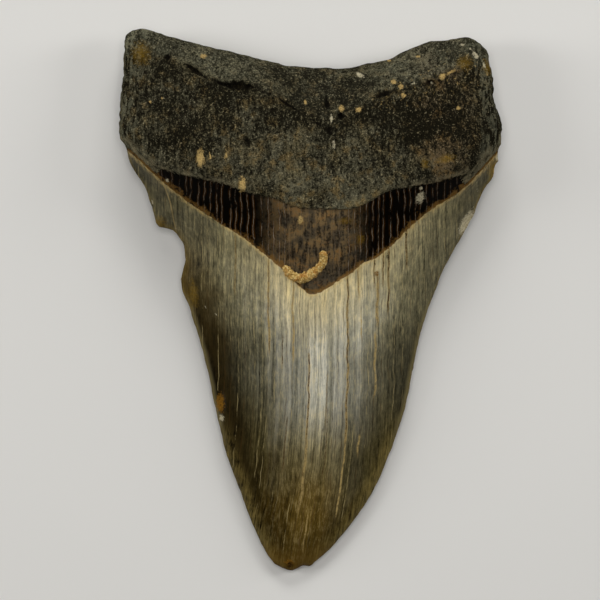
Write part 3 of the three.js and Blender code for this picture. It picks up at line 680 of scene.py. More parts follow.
@dataclass
class ToothSkin:
    """The closed surface of the tooth: an upper and a lower grid over one plan, joined round the rim."""

    relief: ToothRelief
    columns: int = 204
    end_rows: int = 24
    root_rows: int = 54
    step_rows: int = 3
    band_rows: int = 36
    blade_rows: int = 116
    step_gap: float = 0.45
    break_row: float = 0.19
    level_from: float = 0.15
    plan_reach: float = 70.0
    edge_waver: float = 0.12
    edge_crowding: float = 0.45
    halvings: int = 40
    blade_samples: int = 2000
    break_crowding: float = 1.4
    break_reach: float = 0.05

    def shares(self) -> Array:
        """Places of the columns from side to side, closer together near both edges."""
        t = np.linspace(0, 1, self.columns + 1)
        return mix(t, 0.5 - 0.5 * np.cos(np.pi * t), self.edge_crowding)

    def row(self, points: Points, lift: float = 0.0) -> Array:
        """The y where each column crosses a line across the tooth, found by halving.

        Args:
            points: the line.
            lift: how far to move it up.

        Returns:
            One value per column.
        """
        line = SmoothLine(points)
        shares = self.shares()
        low, high = np.full_like(shares, -self.plan_reach), np.full_like(shares, self.plan_reach)
        for _ in range(self.halvings):
            y = (low + high) / 2
            below = y < line(self.relief.plan.x_at(shares, y)) + lift
            low, high = np.where(below, y, low), np.where(below, high, y)
        return high

    def blade(self, enamel: Array, tip: Array) -> Array:
        """The rows of the blade, closer together at the left break, and level near both edges."""
        t = np.linspace(0, 1, self.blade_samples)
        crowding = np.cumsum(1 + self.break_crowding * bump(t - self.break_row, self.break_reach))
        crowding = (crowding - crowding[0]) / (crowding[-1] - crowding[0])
        down = np.interp(np.linspace(0, 1, self.blade_rows + 1), crowding, t)[:, None]
        rows = mix(enamel, tip, down)
        shares = self.shares()
        level = mix(rows[:, :1], rows[:, -1:], shares)
        fade = self.relief.plan.break_fade
        near_edge = ((1 - shares) ** fade + shares**fade) * ease(0, self.level_from, down)
        return mix(rows, level, near_edge * (1 - ease(0.96, 1, down)))

    def plan_points(self, crease: Points, foot: Points, enamel: Points) -> tuple[Array, Array, Array]:
        """The plan places of a skin's points, row by row from the root's end to the tip.

        Args:
            crease, foot, enamel: the lines across this skin.

        Returns:
            The x and the y of each point, with a slightly wavering edge, and its distance from the sides.
        """
        plan = self.relief.plan
        gap = self.step_gap
        lines = [
            self.row(plan.root_end), self.row(crease), self.row(foot), self.row(foot, -gap),
            self.row(enamel, gap), self.row(enamel),
        ]
        counts = [self.end_rows, self.root_rows, self.step_rows, self.band_rows, self.step_rows]
        parts = [
            mix(start, end, (np.arange(count) / count)[:, None])
            for start, end, count in zip(lines, lines[1:], counts)
        ]
        y = np.vstack(parts + [self.blade(lines[-1], self.row(plan.tip))])
        shares = self.shares()
        x = plan.x_at(shares, y)
        distance = self.relief.side_distance(x, y)
        on_root = ease(-2, 1, y - SmoothLine(plan.root_foot)(x))
        size = mix(0.6, 1.6, on_root) * self.edge_waver
        left = (grain(y / 1.1, 0 * y, 31, 2) + grain(y / 3.7, 0 * y, 34)) * (1 - shares) ** 40
        right = (grain(y / 1.1, 0 * y, 32, 2) + grain(y / 3.7, 0 * y, 35)) * shares**40
        y_waver = 1.3 * self.edge_waver * grain(x / 1.9, 0 * x, 33, 2)
        near_end = ease(-2.0, 0, y - SmoothLine(plan.root_end)(x))
        return x + size * (left + right), y + y_waver * near_end, distance

    def values(self, x: Array, y: Array, distance: Array, foot: Points, enamel: Points, crease: Points,
               is_under: bool) -> dict[str, Array]:
        """Values that the finish reads at each point of a skin.

        Args:
            x, y: places in the plan.
            distance: how far each place is from the sides.
            foot, enamel, crease: the lines across this skin.
            is_under: whether this is the lower skin.

        Returns:
            Signed distances, marks and other values by name, in millimetres where they are lengths.
        """
        relief = self.relief
        foot_line, enamel_line, crease_line = SmoothLine(foot), SmoothLine(enamel), SmoothLine(crease)
        shift = relief.grain_shift if is_under else (0.0, 0.0)
        found = {
            "foot": (y - foot_line(x)) / foot_line.slant(x),
            "enamel": (enamel_line(x) - y) / enamel_line.slant(x),
            "crease": y - crease_line(x),
            "side": distance,
            "across": relief.across(x, y),
            "broken": relief.broken(x, y, distance),
            "hollow": -relief.root_grain(x + shift[0], y + shift[1]),
            "tip": y - SmoothLine(relief.plan.tip)(x),
            "flake": SmoothLine(relief.plan.flake_edge)(y) - x,
            "shade": sum(shade.strength(x, y) for shade in SHADES),
        }
        if not is_under:
            found["hollow"] = found["hollow"] + sum(crevice.drop(x, y) for crevice in CREVICES)
        for kind in Mark:
            marks = [patch.inside(x, y) for patch in PATCHES if patch.kind is kind]
            found[kind.value] = np.full_like(x, -1.0) if is_under else np.clip(np.max(marks, axis=0), -1, 1)
        return found

    def build(self) -> GridMesh:
        """The whole skin: both grids, and a strip round the rim that joins their outer points."""
        plan = self.relief.plan
        skins = []
        for crease, foot, enamel, height, is_under in (
            (plan.crease, plan.root_foot, plan.chevron, self.relief.top, False),
            (plan.lip_side_crease, plan.lip_side_foot, plan.lip_side_enamel, self.relief.under, True),
        ):
            x, y, distance = self.plan_points(crease, foot, enamel)
            z = height(x, y, distance)
            along = x - SmoothLine(plan.axis)(y)
            values = self.values(x, y, distance, foot, enamel, crease, is_under)
            skins.append((np.stack([x, y, z], axis=-1), values, np.stack([along, y], axis=-1)))
        row_count, width = skins[0][0].shape[:2]
        number = np.arange(row_count * width).reshape(row_count, width)
        lower = row_count * width
        rim = np.concatenate([number[:, 0], number[-1, 1:], number[-2::-1, -1], number[0, -2::-1]])
        strip = np.stack([rim[:-1], rim[:-1] + lower, rim[1:] + lower, rim[1:]], axis=-1)
        quads = np.vstack([
            grid_quads(row_count, width),
            grid_quads(row_count, width, lower)[:, ::-1],
            strip,
        ])
        return GridMesh(
            points=np.vstack([skin[0].reshape(-1, 3) for skin in skins]),
            quads=quads,
            values={
                name: np.concatenate([skin[1][name].ravel() for skin in skins])
                for name in skins[0][1]
            },
            grain_uv=np.vstack([skin[2].reshape(-1, 2) for skin in skins]),
        )


@dataclass
class WormTube:
    """The limy tube of a sea worm on the dark band: a granular round ridge along a U, in millimetres."""

    relief: ToothRelief
    path: Points = (
        (-5.7, 7.9), (-5.0, 6.6), (-3.7, 5.4), (-2.1, 5.0), (-0.6, 5.3), (0.8, 6.2),
        (2.2, 7.6), (3.1, 9.2), (2.8, 11.2),
    )
    radius: float = 1.16
    sink: float = 0.35
    steps: int = 110
    sides: int = 28

    def build(self) -> GridMesh:
        """The tube as a grid: round sections, swollen and pinched by noise, carried along the path.

        Returns:
            The closed mesh, its ends drawn in to single points.
        """
        knots = np.array(self.path)
        lengths = np.concatenate([[0], np.cumsum(np.hypot(*np.diff(knots, axis=0).T))])
        t = np.linspace(0, lengths[-1], self.steps)
        x = SmoothLine(tuple(zip(lengths, knots[:, 0])))(t)
        y = SmoothLine(tuple(zip(lengths, knots[:, 1])))(t)
        far = self.relief.side_distance(x, y)
        z = self.relief.top(x, y, far) - self.sink
        spine = np.stack([x, y, z], axis=-1)
        ahead = np.gradient(spine, axis=0)
        ahead /= np.linalg.norm(ahead, axis=1, keepdims=True)
        sideways = np.cross(ahead, (0.0, 0.0, 1.0))
        sideways /= np.linalg.norm(sideways, axis=1, keepdims=True)
        upwards = np.cross(sideways, ahead)
        share = t / lengths[-1]
        taper = np.sqrt(np.clip(1 - np.abs(2 * share - 1) ** 14, 0, 1))
        body = mix(0.86, 1.1, bump(share - 0.42, 0.28)) * taper
        angle = np.linspace(0, 2 * np.pi, self.sides, endpoint=False)
        rough = 0.16 * grain(t[:, None] / 0.45 + 0 * angle, 3.2 * np.cos(angle) + t[:, None], 21, 2)
        rough = rough + 0.12 * grain(t[:, None] / 0.22 + 0 * angle, 7 * np.sin(angle) + 0 * t[:, None], 22)
        reach = self.radius * body[:, None] * (1 + rough)
        sideways_part = np.cos(angle)[None, :, None] * sideways[:, None]
        upwards_part = np.sin(angle)[None, :, None] * upwards[:, None]
        points = (spine[:, None] + reach[..., None] * (sideways_part + upwards_part)).reshape(-1, 3)
        wrapped = grid_quads(self.steps, self.sides + 1)
        row, column = np.divmod(wrapped, self.sides + 1)
        return GridMesh(points=points, quads=row * self.sides + column % self.sides)


# Shader maths


@dataclass(frozen=True)
class Tint:
    """A colour as it looks in daylight, 0 to 255 for red, green and blue."""

    red: float
    green: float
    blue: float

    def linear(self, light: float = 0.78) -> tuple[float, float, float, float]:
        """The surface colour that gives this look where the studio light has the given strength."""
        shares = np.array([self.red, self.green, self.blue]) / 255
        plain = np.where(shares <= 0.04045, shares / 12.92, ((shares + 0.055) / 1.055) ** 2.4)
        red, green, blue = np.clip(plain / light, 0, 1)
        return float(red), float(green), float(blue), 1.0


@dataclass(frozen=True)
class Wire:
    """One output of a material's nodes, with the arithmetic that shader maths needs."""

    graph: "Graph"
    socket: bpy.types.NodeSocket

    def __add__(self, other: "Operand") -> "Wire":
        """The sum."""
        return self.graph.math("ADD", self, other)

    def __radd__(self, other: "Operand") -> "Wire":
        """The sum, the other way round."""
        return self.graph.math("ADD", other, self)

    def __sub__(self, other: "Operand") -> "Wire":
        """The difference."""
        return self.graph.math("SUBTRACT", self, other)

    def __rsub__(self, other: "Operand") -> "Wire":
        """The difference, the other way round."""
        return self.graph.math("SUBTRACT", other, self)

    def __mul__(self, other: "Operand") -> "Wire":
        """The product."""
        return self.graph.math("MULTIPLY", self, other)

    def __rmul__(self, other: "Operand") -> "Wire":
        """The product, the other way round."""
        return self.graph.math("MULTIPLY", other, self)

    def __abs__(self) -> "Wire":
        """The size without its sign."""
        return self.graph.math("ABSOLUTE", self)

    def maximum(self, other: "Operand") -> "Wire":
        """The larger of two values."""
        return self.graph.math("MAXIMUM", self, other)

    def step(self, low: float, high: float) -> "Wire":
        """A smooth step: 0 up to low, 1 from high on. It falls instead where low is above high."""
        settings = {"interpolation_type": "SMOOTHSTEP"}
        if low < high:
            return self.graph.node("MapRange", settings, {"Value": self, "From Min": low, "From Max": high})
        ends = {"Value": self, "From Min": high, "From Max": low, "To Min": 1.0, "To Max": 0.0}
        return self.graph.node("MapRange", settings, ends)


Operand = Union[Wire, Tint, float, int, tuple]


class Graph:
    """The nodes of one material."""

    def __init__(self, name: str) -> None:
        """Starts an empty material of that name."""
        self.material = bpy.data.materials.new(name)
        self.material.use_nodes = True
        self.tree = self.material.node_tree
        self.tree.nodes.clear()

    def node(self, kind: str, settings: dict[str, Any], inputs: dict[Union[str, int], Operand],
             output: int = 0) -> Wire | None:
        """Adds any node.

        Args:
            kind: the node's type without ShaderNode.
            settings: its properties, set before its sockets.
            inputs: its sockets by name or number, each a value or a wire.
            output: which output to return.

        Returns:
            That output, or nothing where the node has none.
        """
        made = self.tree.nodes.new("ShaderNode" + kind)
        for name, value in settings.items():
            setattr(made, name, value)
        for key, value in inputs.items():
            if isinstance(value, Wire):
                self.tree.links.new(value.socket, made.inputs[key])
            else:
                made.inputs[key].default_value = value
        return Wire(self, made.outputs[output]) if len(made.outputs) else None

    def math(self, operation: str, *values: Operand) -> Wire:
        """A Math node on up to three numbers."""
        return self.node("Math", {"operation": operation}, dict(enumerate(values)))

    def blend(self, share: Operand, low: Operand, high: Operand) -> Wire:
        """A colour that lies at a share of the way from low to high."""
        inputs = {0: share, 6: self.colour(low), 7: self.colour(high)}
        return self.node("Mix", {"data_type": "RGBA"}, inputs, output=2)

    def tone(self, colour: Operand, strength: Operand) -> Wire:
        """A colour made lighter or darker by a number."""
        scaled = {0: self.colour(colour), "Scale": strength}
        return self.node("VectorMath", {"operation": "SCALE"}, scaled)

    @staticmethod
    def colour(value: Operand) -> Operand:
        """A tint as a node value; anything else as it is."""
        return value.linear() if isinstance(value, Tint) else value

    def attribute(self, name: str) -> Wire:
        """A named value of the mesh."""
        return self.node("Attribute", {"attribute_name": name}, {}, output=2)

    def place(self) -> Wire:
        """Object coordinates in millimetres."""
        place = self.node("TexCoord", {}, {}, output=3)
        return self.node("VectorMath", {"operation": "SCALE"}, {0: place, "Scale": 1 / MM})

    def stretched(self, place: Wire, x: float, y: float, z: float) -> Wire:
        """A place with each of its coordinates multiplied by a number."""
        return self.node("VectorMath", {"operation": "MULTIPLY"}, {0: place, 1: (x, y, z)})

    def split(self, vector: Wire) -> tuple[Wire, Wire, Wire]:
        """The three numbers of a vector."""
        first = self.node("SeparateXYZ", {}, {0: vector})
        outputs = first.socket.node.outputs
        return first, Wire(self, outputs[1]), Wire(self, outputs[2])

    def noise(self, place: Wire, scale: float, detail: float = 2.0, roughness: float = 0.5) -> Wire:
        """Noise from about 0.2 to 0.8, with one feature per millimetre at scale 1."""
        inputs = {"Vector": place, "Scale": scale, "Detail": detail, "Roughness": roughness}
        return self.node("TexNoise", {}, inputs)

    def uprights(self, along: Wire, scale: float) -> Wire:
        """Distance to the nearest of a row of unevenly spaced lines, at that many lines per millimetre."""
        settings = {"voronoi_dimensions": "1D", "feature": "DISTANCE_TO_EDGE"}
        return self.node("TexVoronoi", settings, {"W": along, "Scale": scale, "Randomness": 1.0})

    def finish(self, surface: dict[str, Operand], height: Wire) -> bpy.types.Material:
        """Ends the graph in a shader.

        Args:
            surface: the shader's sockets.
            height: the fine relief in millimetres.

        Returns:
            The material.
        """
        normal = self.node("Bump", {}, {"Height": height, "Distance": MM, "Strength": 1.0})
        shader = self.node("BsdfPrincipled", {}, {**surface, "Normal": normal})
        self.node("OutputMaterial", {}, {"Surface": shader})
        return self.material


# Finishes


@dataclass(frozen=True)
class Crack:
    """A hair crack along the blade, in mm: its distance from the blade's axis, its ends and its half width.

    How strong the ochre stain beside it and the dark line in it are goes from 0 to 1.
    """

    offset: float
    top: float
    foot: float
    half_width: float = 0.12
    ochre: float = 0.9
    dark: float = 0.7


@dataclass(frozen=True)
class Fibres:
    """Places and noises that the layers of the enamel share, in mm across and along the blade."""

    place: Wire
    along: Wire
    down: Wire
    wander: Wire
    fine: Wire
    broad: Wire
    threads: Wire
    scuffs: Wire
    cloud: Wire


@dataclass(frozen=True)
class FossilFinish:
    """Colours and finish of the root, the dark band and the enamel, with their stains, cracks and marks.

    Some of their colour is painted light and shade.
    """

    root_dark: Tint = Tint(21, 19, 12)
    root_mid: Tint = Tint(107, 99, 73)
    root_cool: Tint = Tint(99, 95, 75)
    root_warm: Tint = Tint(110, 89, 51)
    root_pale: Tint = Tint(152, 142, 112)
    root_red: Tint = Tint(84, 54, 24)
    root_end: Tint = Tint(104, 103, 84)
    band_black_and_shadow: Tint = Tint(6, 4, 2)
    band_brown: Tint = Tint(94, 77, 51)
    band_slate: Tint = Tint(66, 59, 47)
    band_shade: Tint = Tint(26, 20, 12)
    band_rust: Tint = Tint(96, 62, 24)
    band_line: Tint = Tint(138, 132, 118)
    band_rim: Tint = Tint(104, 76, 36)
    enamel_grey: Tint = Tint(160, 157, 137)
    enamel_silver: Tint = Tint(190, 186, 168)
    enamel_ochre: Tint = Tint(196, 176, 122)
    enamel_olive: Tint = Tint(151, 143, 106)
    enamel_moss: Tint = Tint(156, 138, 72)
    enamel_amber: Tint = Tint(122, 94, 24)
    enamel_dark_and_shade: Tint = Tint(38, 29, 9)
    enamel_lip: Tint = Tint(176, 150, 94)
    enamel_edge: Tint = Tint(108, 93, 50)
    enamel_rim: Tint = Tint(120, 109, 74)
    enamel_tip: Tint = Tint(92, 68, 22)
    crack_ochre: Tint = Tint(160, 137, 86)
    crack_dark: Tint = Tint(62, 42, 18)
    mark_tan: Tint = Tint(174, 147, 92)
    mark_pale: Tint = Tint(184, 174, 144)
    mark_rust: Tint = Tint(116, 80, 24)
    mark_brown: Tint = Tint(12, 10, 7)
    least_roughness: float = 0.42
    band_coat: float = 0.03
    enamel_coat: float = 0.16
    coat_roughness: float = 0.25
    cracks: tuple[Crack, ...] = tuple(Crack(*row) for row in (
        (8.5, 20.0, -34.0, 0.14, 1.0, 0.9), (8.6, -32.0, -50.0, 0.1, 1.0, 0.15),
        (-0.2, -11.5, -33.0, 0.14, 0.8, 1.0), (0.0, -31.0, -49.0, 0.15, 0.8, 0.25),
        (-6.3, -7.5, -17.0, 0.11, 0.1, 0.9), (-9.3, 20.0, -13.0, 0.13, 1.0, 0.7),
        (-3.8, 20.0, -15.0, 0.12, 1.0, 0.45), (17.7, 20.0, -4.0, 0.14, 0.7, 1.0),
        (21.7, 20.0, 6.0, 0.14, 0.6, 1.0), (16.5, 20.0, 2.2, 0.12, 0.6, 1.0),
        (14.5, 20.0, 2.2, 0.12, 0.6, 1.0), (15.2, 6.0, -7.0, 0.17, 1.0, 0.6),
        (14.7, -7.0, -23.0, 0.12, 0.9, 0.1), (10.9, 20.0, -1.0, 0.11, 0.9, 0.6),
        (11.6, -2.0, -10.0, 0.09, 0.9, 0.0), (11.6, -30.0, -36.0, 0.11, 1.0, 0.1),
        (3.9, -16.0, -30.0, 0.1, 0.4, 0.5), (4.3, -24.0, -41.0, 0.11, 0.1, 0.8),
        (-4.8, -26.0, -40.0, 0.11, 0.1, 0.8), (-16.8, 20.0, 0.0, 0.11, 0.5, 0.5),
        (1.3, -46.0, -57.0, 0.11, 0.1, 0.7), (2.3, -47.0, -58.0, 0.08, 0.8, 0.1),
        (3.4, -45.0, -54.0, 0.11, 0.1, 0.7),
    ))

    def crack_mask(self, fibres: Fibres) -> tuple[Wire, Wire]:
        """Where the hair cracks run.

        Args:
            fibres: the enamel's places and noises.

        Returns:
            The mask of the dark lines, and the mask of the ochre stain beside them.
        """
        shifted = fibres.along + fibres.wander * 0.6
        lines, stains = None, None
        for crack in self.cracks:
            distance = abs(shifted - crack.offset)
            length = fibres.down.step(crack.foot, crack.foot + 3.0)
            length = length * fibres.down.step(crack.top, crack.top - 1.0)
            line = distance.step(crack.half_width * 1.5, crack.half_width * 0.5) * length * crack.dark
            stain = distance.step(crack.half_width * 3.2, crack.half_width * 0.5) * length * crack.ochre
            lines = line if lines is None else lines.maximum(line)
            stains = stain if stains is None else stains.maximum(stain)
        return lines, stains

    def root(self, graph: Graph, place: Wire) -> tuple[Wire, Wire]:
        """Colour and fine relief of the root: porous dark bone, greyer at its end, browner to the right.

        Painted light lightens its side faces and the edge of its foot; painted shade darkens its hollows
        and crevices.

        Args:
            graph: the material's nodes.
            place: object coordinates in mm.

        Returns:
            The colour, and the relief in mm.
        """
        x, _, _ = graph.split(place)
        clouds = graph.noise(place, 0.12, 3)
        patches = graph.noise(place, 0.4, 3, 0.6)
        speckle = graph.noise(graph.stretched(place, 1.0, 0.7, 1.0), 1.7, 3, 0.75)
        streaks = graph.noise(graph.stretched(place, 1.0, 0.22, 0.6), 1.1, 3, 0.6)
        grit = graph.noise(place, 3.2, 1, 0.5)
        beyond = graph.attribute("crease")
        middle = abs(x - 2.0).step(24.0, 8.0) * beyond.step(-1.0, -7.0) * 0.2
        under_crease = abs(beyond + 6.0).step(8.0, 2.0) * 0.12
        tone = clouds * 0.8 + patches * 0.5 + streaks * 0.9 + middle - under_crease - 0.82
        tone = tone + graph.attribute("shade")
        grains = (speckle - 0.5) * 1.5 + (grit - 0.5) * 0.75
        light = (tone + grains).step(0.0, 1.0)
        warmth = graph.noise(place, 0.2, 4, 0.6)
        colour = graph.blend(warmth.step(0.4, 0.6), self.root_cool, self.root_mid)
        colour = graph.blend(patches.step(0.52, 0.66) * 0.6, colour, self.root_warm)
        colour = graph.blend(light, self.root_dark, colour)
        red = x.step(20.0, 26.0) * x.step(40.0, 32.0) * clouds.step(0.35, 0.6) * 0.7
        colour = graph.blend(red * light, colour, self.root_red)
        # Painted light: lighter streaky bands along the sides, where the side faces catch light from the
        # sides.
        flank_light = graph.attribute("side").step(6.0, 1.0) * (streaks + grains * 0.2).step(0.46, 0.58) * 0.4
        colour = graph.blend(flank_light, colour, self.root_end)
        at_end = beyond.step(-0.5, 2.0) * (abs(x - 2.0).step(8.0, 18.0) * 0.7 + 0.3)
        colour = graph.blend(at_end * (light * 0.8 + patches * 0.2), colour, self.root_end)
        # Painted highlight: a pale fringe along the edge of the root's overhanging foot.
        lip = (graph.attribute("foot") + (speckle - 0.5) * 1.6).step(1.3, 0.3) * abs(x).step(14.0, 20.0)
        colour = graph.blend(lip * patches.step(0.35, 0.6) * 0.3, colour, self.root_pale)
        crust = graph.noise(place, 0.9, 4, 0.75).step(0.58, 0.66) * x.step(12.0, 17.0)
        crust = crust * abs(beyond).step(6.0, 2.0) * speckle.step(0.4, 0.6)
        colour = graph.blend(crust * 0.65, colour, self.mark_tan)
        glints = (speckle * 0.5 + grit * 0.5).step(0.57, 0.7) * 0.5
        colour = graph.blend(glints, colour, self.root_pale)
        # Darker where the relief lies deepest: painted shade in the hollows and crevices, and dark pores in
        # the speckle.
        hollow_shade_and_pores = graph.attribute("hollow").step(0.3, 1.0) * 0.85
        hollow_shade_and_pores = hollow_shade_and_pores.maximum((grit * 0.5 + speckle * 0.5).step(0.44, 0.34) * 0.8)
        colour = graph.blend(hollow_shade_and_pores, colour, self.mark_brown)
        relief = speckle * 0.5 + streaks * 0.25 + grit * 0.12
        return colour, relief

    def band(self, graph: Graph, place: Wire, along: Wire, down: Wire,
             wander: Wire) -> tuple[Wire, Wire, Wire]:
        """Colour, relief and gloss of the dark band: black sides with grey lines, a dull brown middle.

        The black sides are partly painted shadow under the root's overhanging foot.

        Args:
            graph: the material's nodes.
            place: object coordinates in mm.
            along, down: the place across and along the blade, in mm.
            wander: how far its upright lines stray, in mm.

        Returns:
            The colour, the relief in mm, and the gloss from 0 to 1.
        """
        mottle = graph.noise(place, 0.42, 4, 0.6)
        upright = graph.noise(graph.stretched(place, 1.0, 0.18, 0.3), 1.4, 3, 0.6)
        fine = graph.noise(place, 1.9, 3, 0.6)
        centre = along - 0.6
        # The black sides: partly the band's own glossy black, partly painted shadow under the root's
        # overhanging foot.
        black = (abs(centre) + mottle * 6.0 - 3.0 + upright * 4.0 - 2.0).step(7.0, 13.5)
        dull = graph.blend((mottle * 0.6 + upright * 0.4).step(0.4, 0.6), self.band_slate, self.band_brown)
        dull = graph.blend(down.step(9.5, 4.0) * 0.8, dull, self.band_slate)
        rust = (mottle * 0.5 + fine * 0.5).step(0.53, 0.64) * 0.45
        dull = graph.blend(rust, dull, self.band_rust)
        dull = graph.blend((fine * 0.4 + upright * 0.6).step(0.54, 0.38) * 0.85, dull, self.band_shade)
        dull = graph.tone(dull, graph.attribute("shade") * 1.4 + (mottle - 0.5) * 1.8 + 1.12)
        colour = graph.blend(black, dull, self.band_black_and_shadow)
        strayed = along + wander * 0.8 + (upright - 0.5) * 0.5
        ribs = graph.uprights(strayed, 0.72)
        patchy = graph.noise(graph.stretched(place, 0.9, 0.3, 0.3), 0.9, 4, 0.7)
        spread = abs(centre).step(3.5, 8.5) * 0.8 + 0.2 - abs(centre).step(22.0, 32.0) * 0.6
        glow = ribs.step(0.35, 0.05) * patchy.step(0.4, 0.6) * spread
        colour = graph.blend(glow * 0.3, colour, self.band_rust)
        lines = ribs.step(0.06, 0.0) * patchy.step(0.36, 0.6) * spread
        colour = graph.blend(lines * 0.75, colour, self.band_line)
        rim = graph.attribute("enamel") + (fine - 0.5) * 1.6 + (mottle - 0.5) * 4.0
        rim = rim.step(-1.1, -0.2) * patchy.step(0.3, 0.5)
        colour = graph.blend(rim * 0.7, colour, self.band_rim)
        relief = fine * 0.08 + mottle * 0.1 + upright * 0.12 + lines * 0.05
        return colour, relief, black

    def enamel_zones(self, graph: Graph, fibres: Fibres) -> Wire:
        """Colour of the enamel by zone: ochre at the band, silvery middle, olive sides, amber tip, dark
        edge.

        Painted shade darkens it towards the sides and in the dark edge; a painted highlight lights the
        middle.

        Args:
            graph: the material's nodes.
            fibres: the enamel's places and noises.

        Returns:
            The colour, with its streaks.
        """
        down, across, inward = fibres.down, graph.attribute("across"), graph.attribute("side")
        low = down.step(-20.0, -38.0)
        off = across - 0.1 + (fibres.cloud - 0.5) * 0.35 + (fibres.broad - 0.5) * 0.3
        narrowness = 2.8 - low * 0.9 - down.step(-16.0, 4.0) * 1.15
        # Painted shade: side and tone darken the enamel towards both sides, whose slopes turn from the
        # light.
        side = graph.math("EXPONENT", off * off * narrowness * -1.0)
        # middle_dim and tone also dim the middle reach of the blade and the tip.
        middle_dim = down.step(-3.0, -17.0) * (1 - down.step(-38.0, -52.0) * 0.9) * 0.36
        tone = side * (1 - middle_dim) * (1.04 - low * 0.5) * (1 - down.step(-40.0, -58.0) * 0.4)
        colour = graph.blend(fibres.broad.step(0.38, 0.62), self.enamel_grey, self.enamel_silver)
        under_band = graph.attribute("enamel").step(14.0, 0.0) * (fibres.broad.step(0.35, 0.65) * 0.5 + 0.5)
        colour = graph.blend(under_band * 0.85, colour, self.enamel_ochre)
        sides = abs(off).step(0.22, 0.75).maximum(low * 0.8)
        olive = graph.blend(down.step(-17.0, -34.0), self.enamel_olive, self.enamel_moss)
        colour = graph.blend(sides * 0.9, colour, olive)
        amber = (across + fibres.cloud * 0.3 + 0.1).step(-0.3, -0.75)
        below = down + fibres.cloud * 12.0 + across.step(0.2, 0.7) * 8.0 - 6.0
        amber = amber.maximum(below.step(-30.0, -48.0))
        amber = amber * down.step(20.0, 6.0) * 0.9
        colour = graph.blend(amber, colour, self.enamel_amber)
        tawny = (fibres.scuffs + fibres.threads).step(0.5, 0.66) * 0.3
        colour = graph.blend(tawny, colour, self.enamel_ochre)
        # A lighter streak down the middle: partly whiter enamel, partly a painted highlight.
        whiter_streak_and_highlight = graph.math("EXPONENT", (fibres.along - 1.8) * (fibres.along - 1.8) * -0.2)
        whiter_streak_and_highlight = whiter_streak_and_highlight * down.step(-36.0, -26.0) * down.step(-6.0, -14.0) * fibres.broad
        streaks = fibres.fine * 2.1 + fibres.threads * 1.7 + (fibres.broad - 0.5) * 0.8
        streaks = (streaks + (fibres.scuffs - 0.5) * 1.2) * (sides * 0.45 + 1.0)
        tone = tone * (graph.attribute("shade") + 1.0) * (1 + whiter_streak_and_highlight * 0.5)
        colour = graph.tone(colour, tone * (streaks + 1.0))
        # A dark strip in from the left edge: partly dark enamel, partly painted shade where the edge slopes
        # from the light.
        dark = (across + fibres.cloud * 0.2 - 0.1).step(-0.7, -0.84) * down.step(7.0, -3.0)
        dark = dark * down.step(-46.0, -34.0) * inward.step(0.8, 2.4) * fibres.scuffs.step(0.3, 0.6)
        return graph.blend(dark * 0.75, colour, self.enamel_dark_and_shade)

    def enamel_lines(self, graph: Graph, fibres: Fibres, colour: Wire) -> tuple[Wire, Wire]:
        """Lays the hair cracks over the enamel's colour.

        Args:
            graph: the material's nodes.
            fibres: the enamel's places and noises.
            colour: what they lie on.

        Returns:
            The colour with them, and their depth from 0 to 1.
        """
        hairs = graph.uprights(fibres.along + fibres.wander * 0.7, 0.62)
        broken = graph.noise(graph.stretched(fibres.place, 0.5, 0.2, 0.2), 1.1, 4, 0.65)
        hairs = hairs.step(0.09, 0.01) * broken.step(0.42, 0.6)
        colour = graph.blend(hairs * fibres.broad.step(0.45, 0.55) * 0.55, colour, self.crack_dark)
        colour = graph.blend(hairs * fibres.broad.step(0.52, 0.42) * 0.35, colour, self.enamel_ochre)
        lines, stains = self.crack_mask(fibres)
        spots = graph.noise(graph.stretched(fibres.place, 1.0, 0.6, 1.0), 1.3, 3, 0.75)
        colour = graph.blend(stains * (spots.step(0.38, 0.58) * 0.6 + 0.32), colour, self.crack_ochre)
        colour = graph.blend(lines * (spots.step(0.56, 0.44) * 0.65 + 0.35), colour, self.crack_dark)
        return colour, lines.maximum(hairs * 0.6)

    def enamel_edges(self, graph: Graph, fibres: Fibres, colour: Wire) -> Wire:
        """Lays the worn borders over the enamel's colour: lip at the band, flake scar, cutting edges, tip.

        Args:
            graph: the material's nodes.
            fibres: the enamel's places and noises.
            colour: what they lie on.

        Returns:
            The colour with them.
        """
        inward, patchy = graph.attribute("side"), fibres.scuffs.step(0.3, 0.6)
        lip = (graph.attribute("enamel") + fibres.fine * 1.6).step(0.9, 0.1) * fibres.scuffs.step(0.36, 0.6)
        colour = graph.blend(lip * 0.7, colour, self.enamel_lip)
        flap_edge = abs(graph.attribute("flake")).step(0.25, 0.05) * fibres.down.step(15.0, 17.0)
        colour = graph.blend(flap_edge * 0.3, colour, self.enamel_lip)
        low = fibres.down.step(-24.0, -36.0)
        worn = (inward.step(0.7, 0.15) * 0.7).maximum(inward.step(3.6, 0.8) * low)
        streaky = fibres.fine * 2.0 + fibres.threads * 2.0 + patchy * 0.35 + 0.16
        colour = graph.blend(worn * streaky, colour, self.enamel_edge)
        rim = inward.step(1.3, 0.4) * fibres.down.step(3.0, -4.0)
        rim = rim * (fibres.down.step(-36.0, -26.0) * 0.7 + 0.3)
        colour = graph.blend(rim * 0.38, colour, self.enamel_rim)
        tip = graph.attribute("tip").step(6.0, 1.0)
        return graph.blend(tip * 0.5, colour, self.enamel_tip)

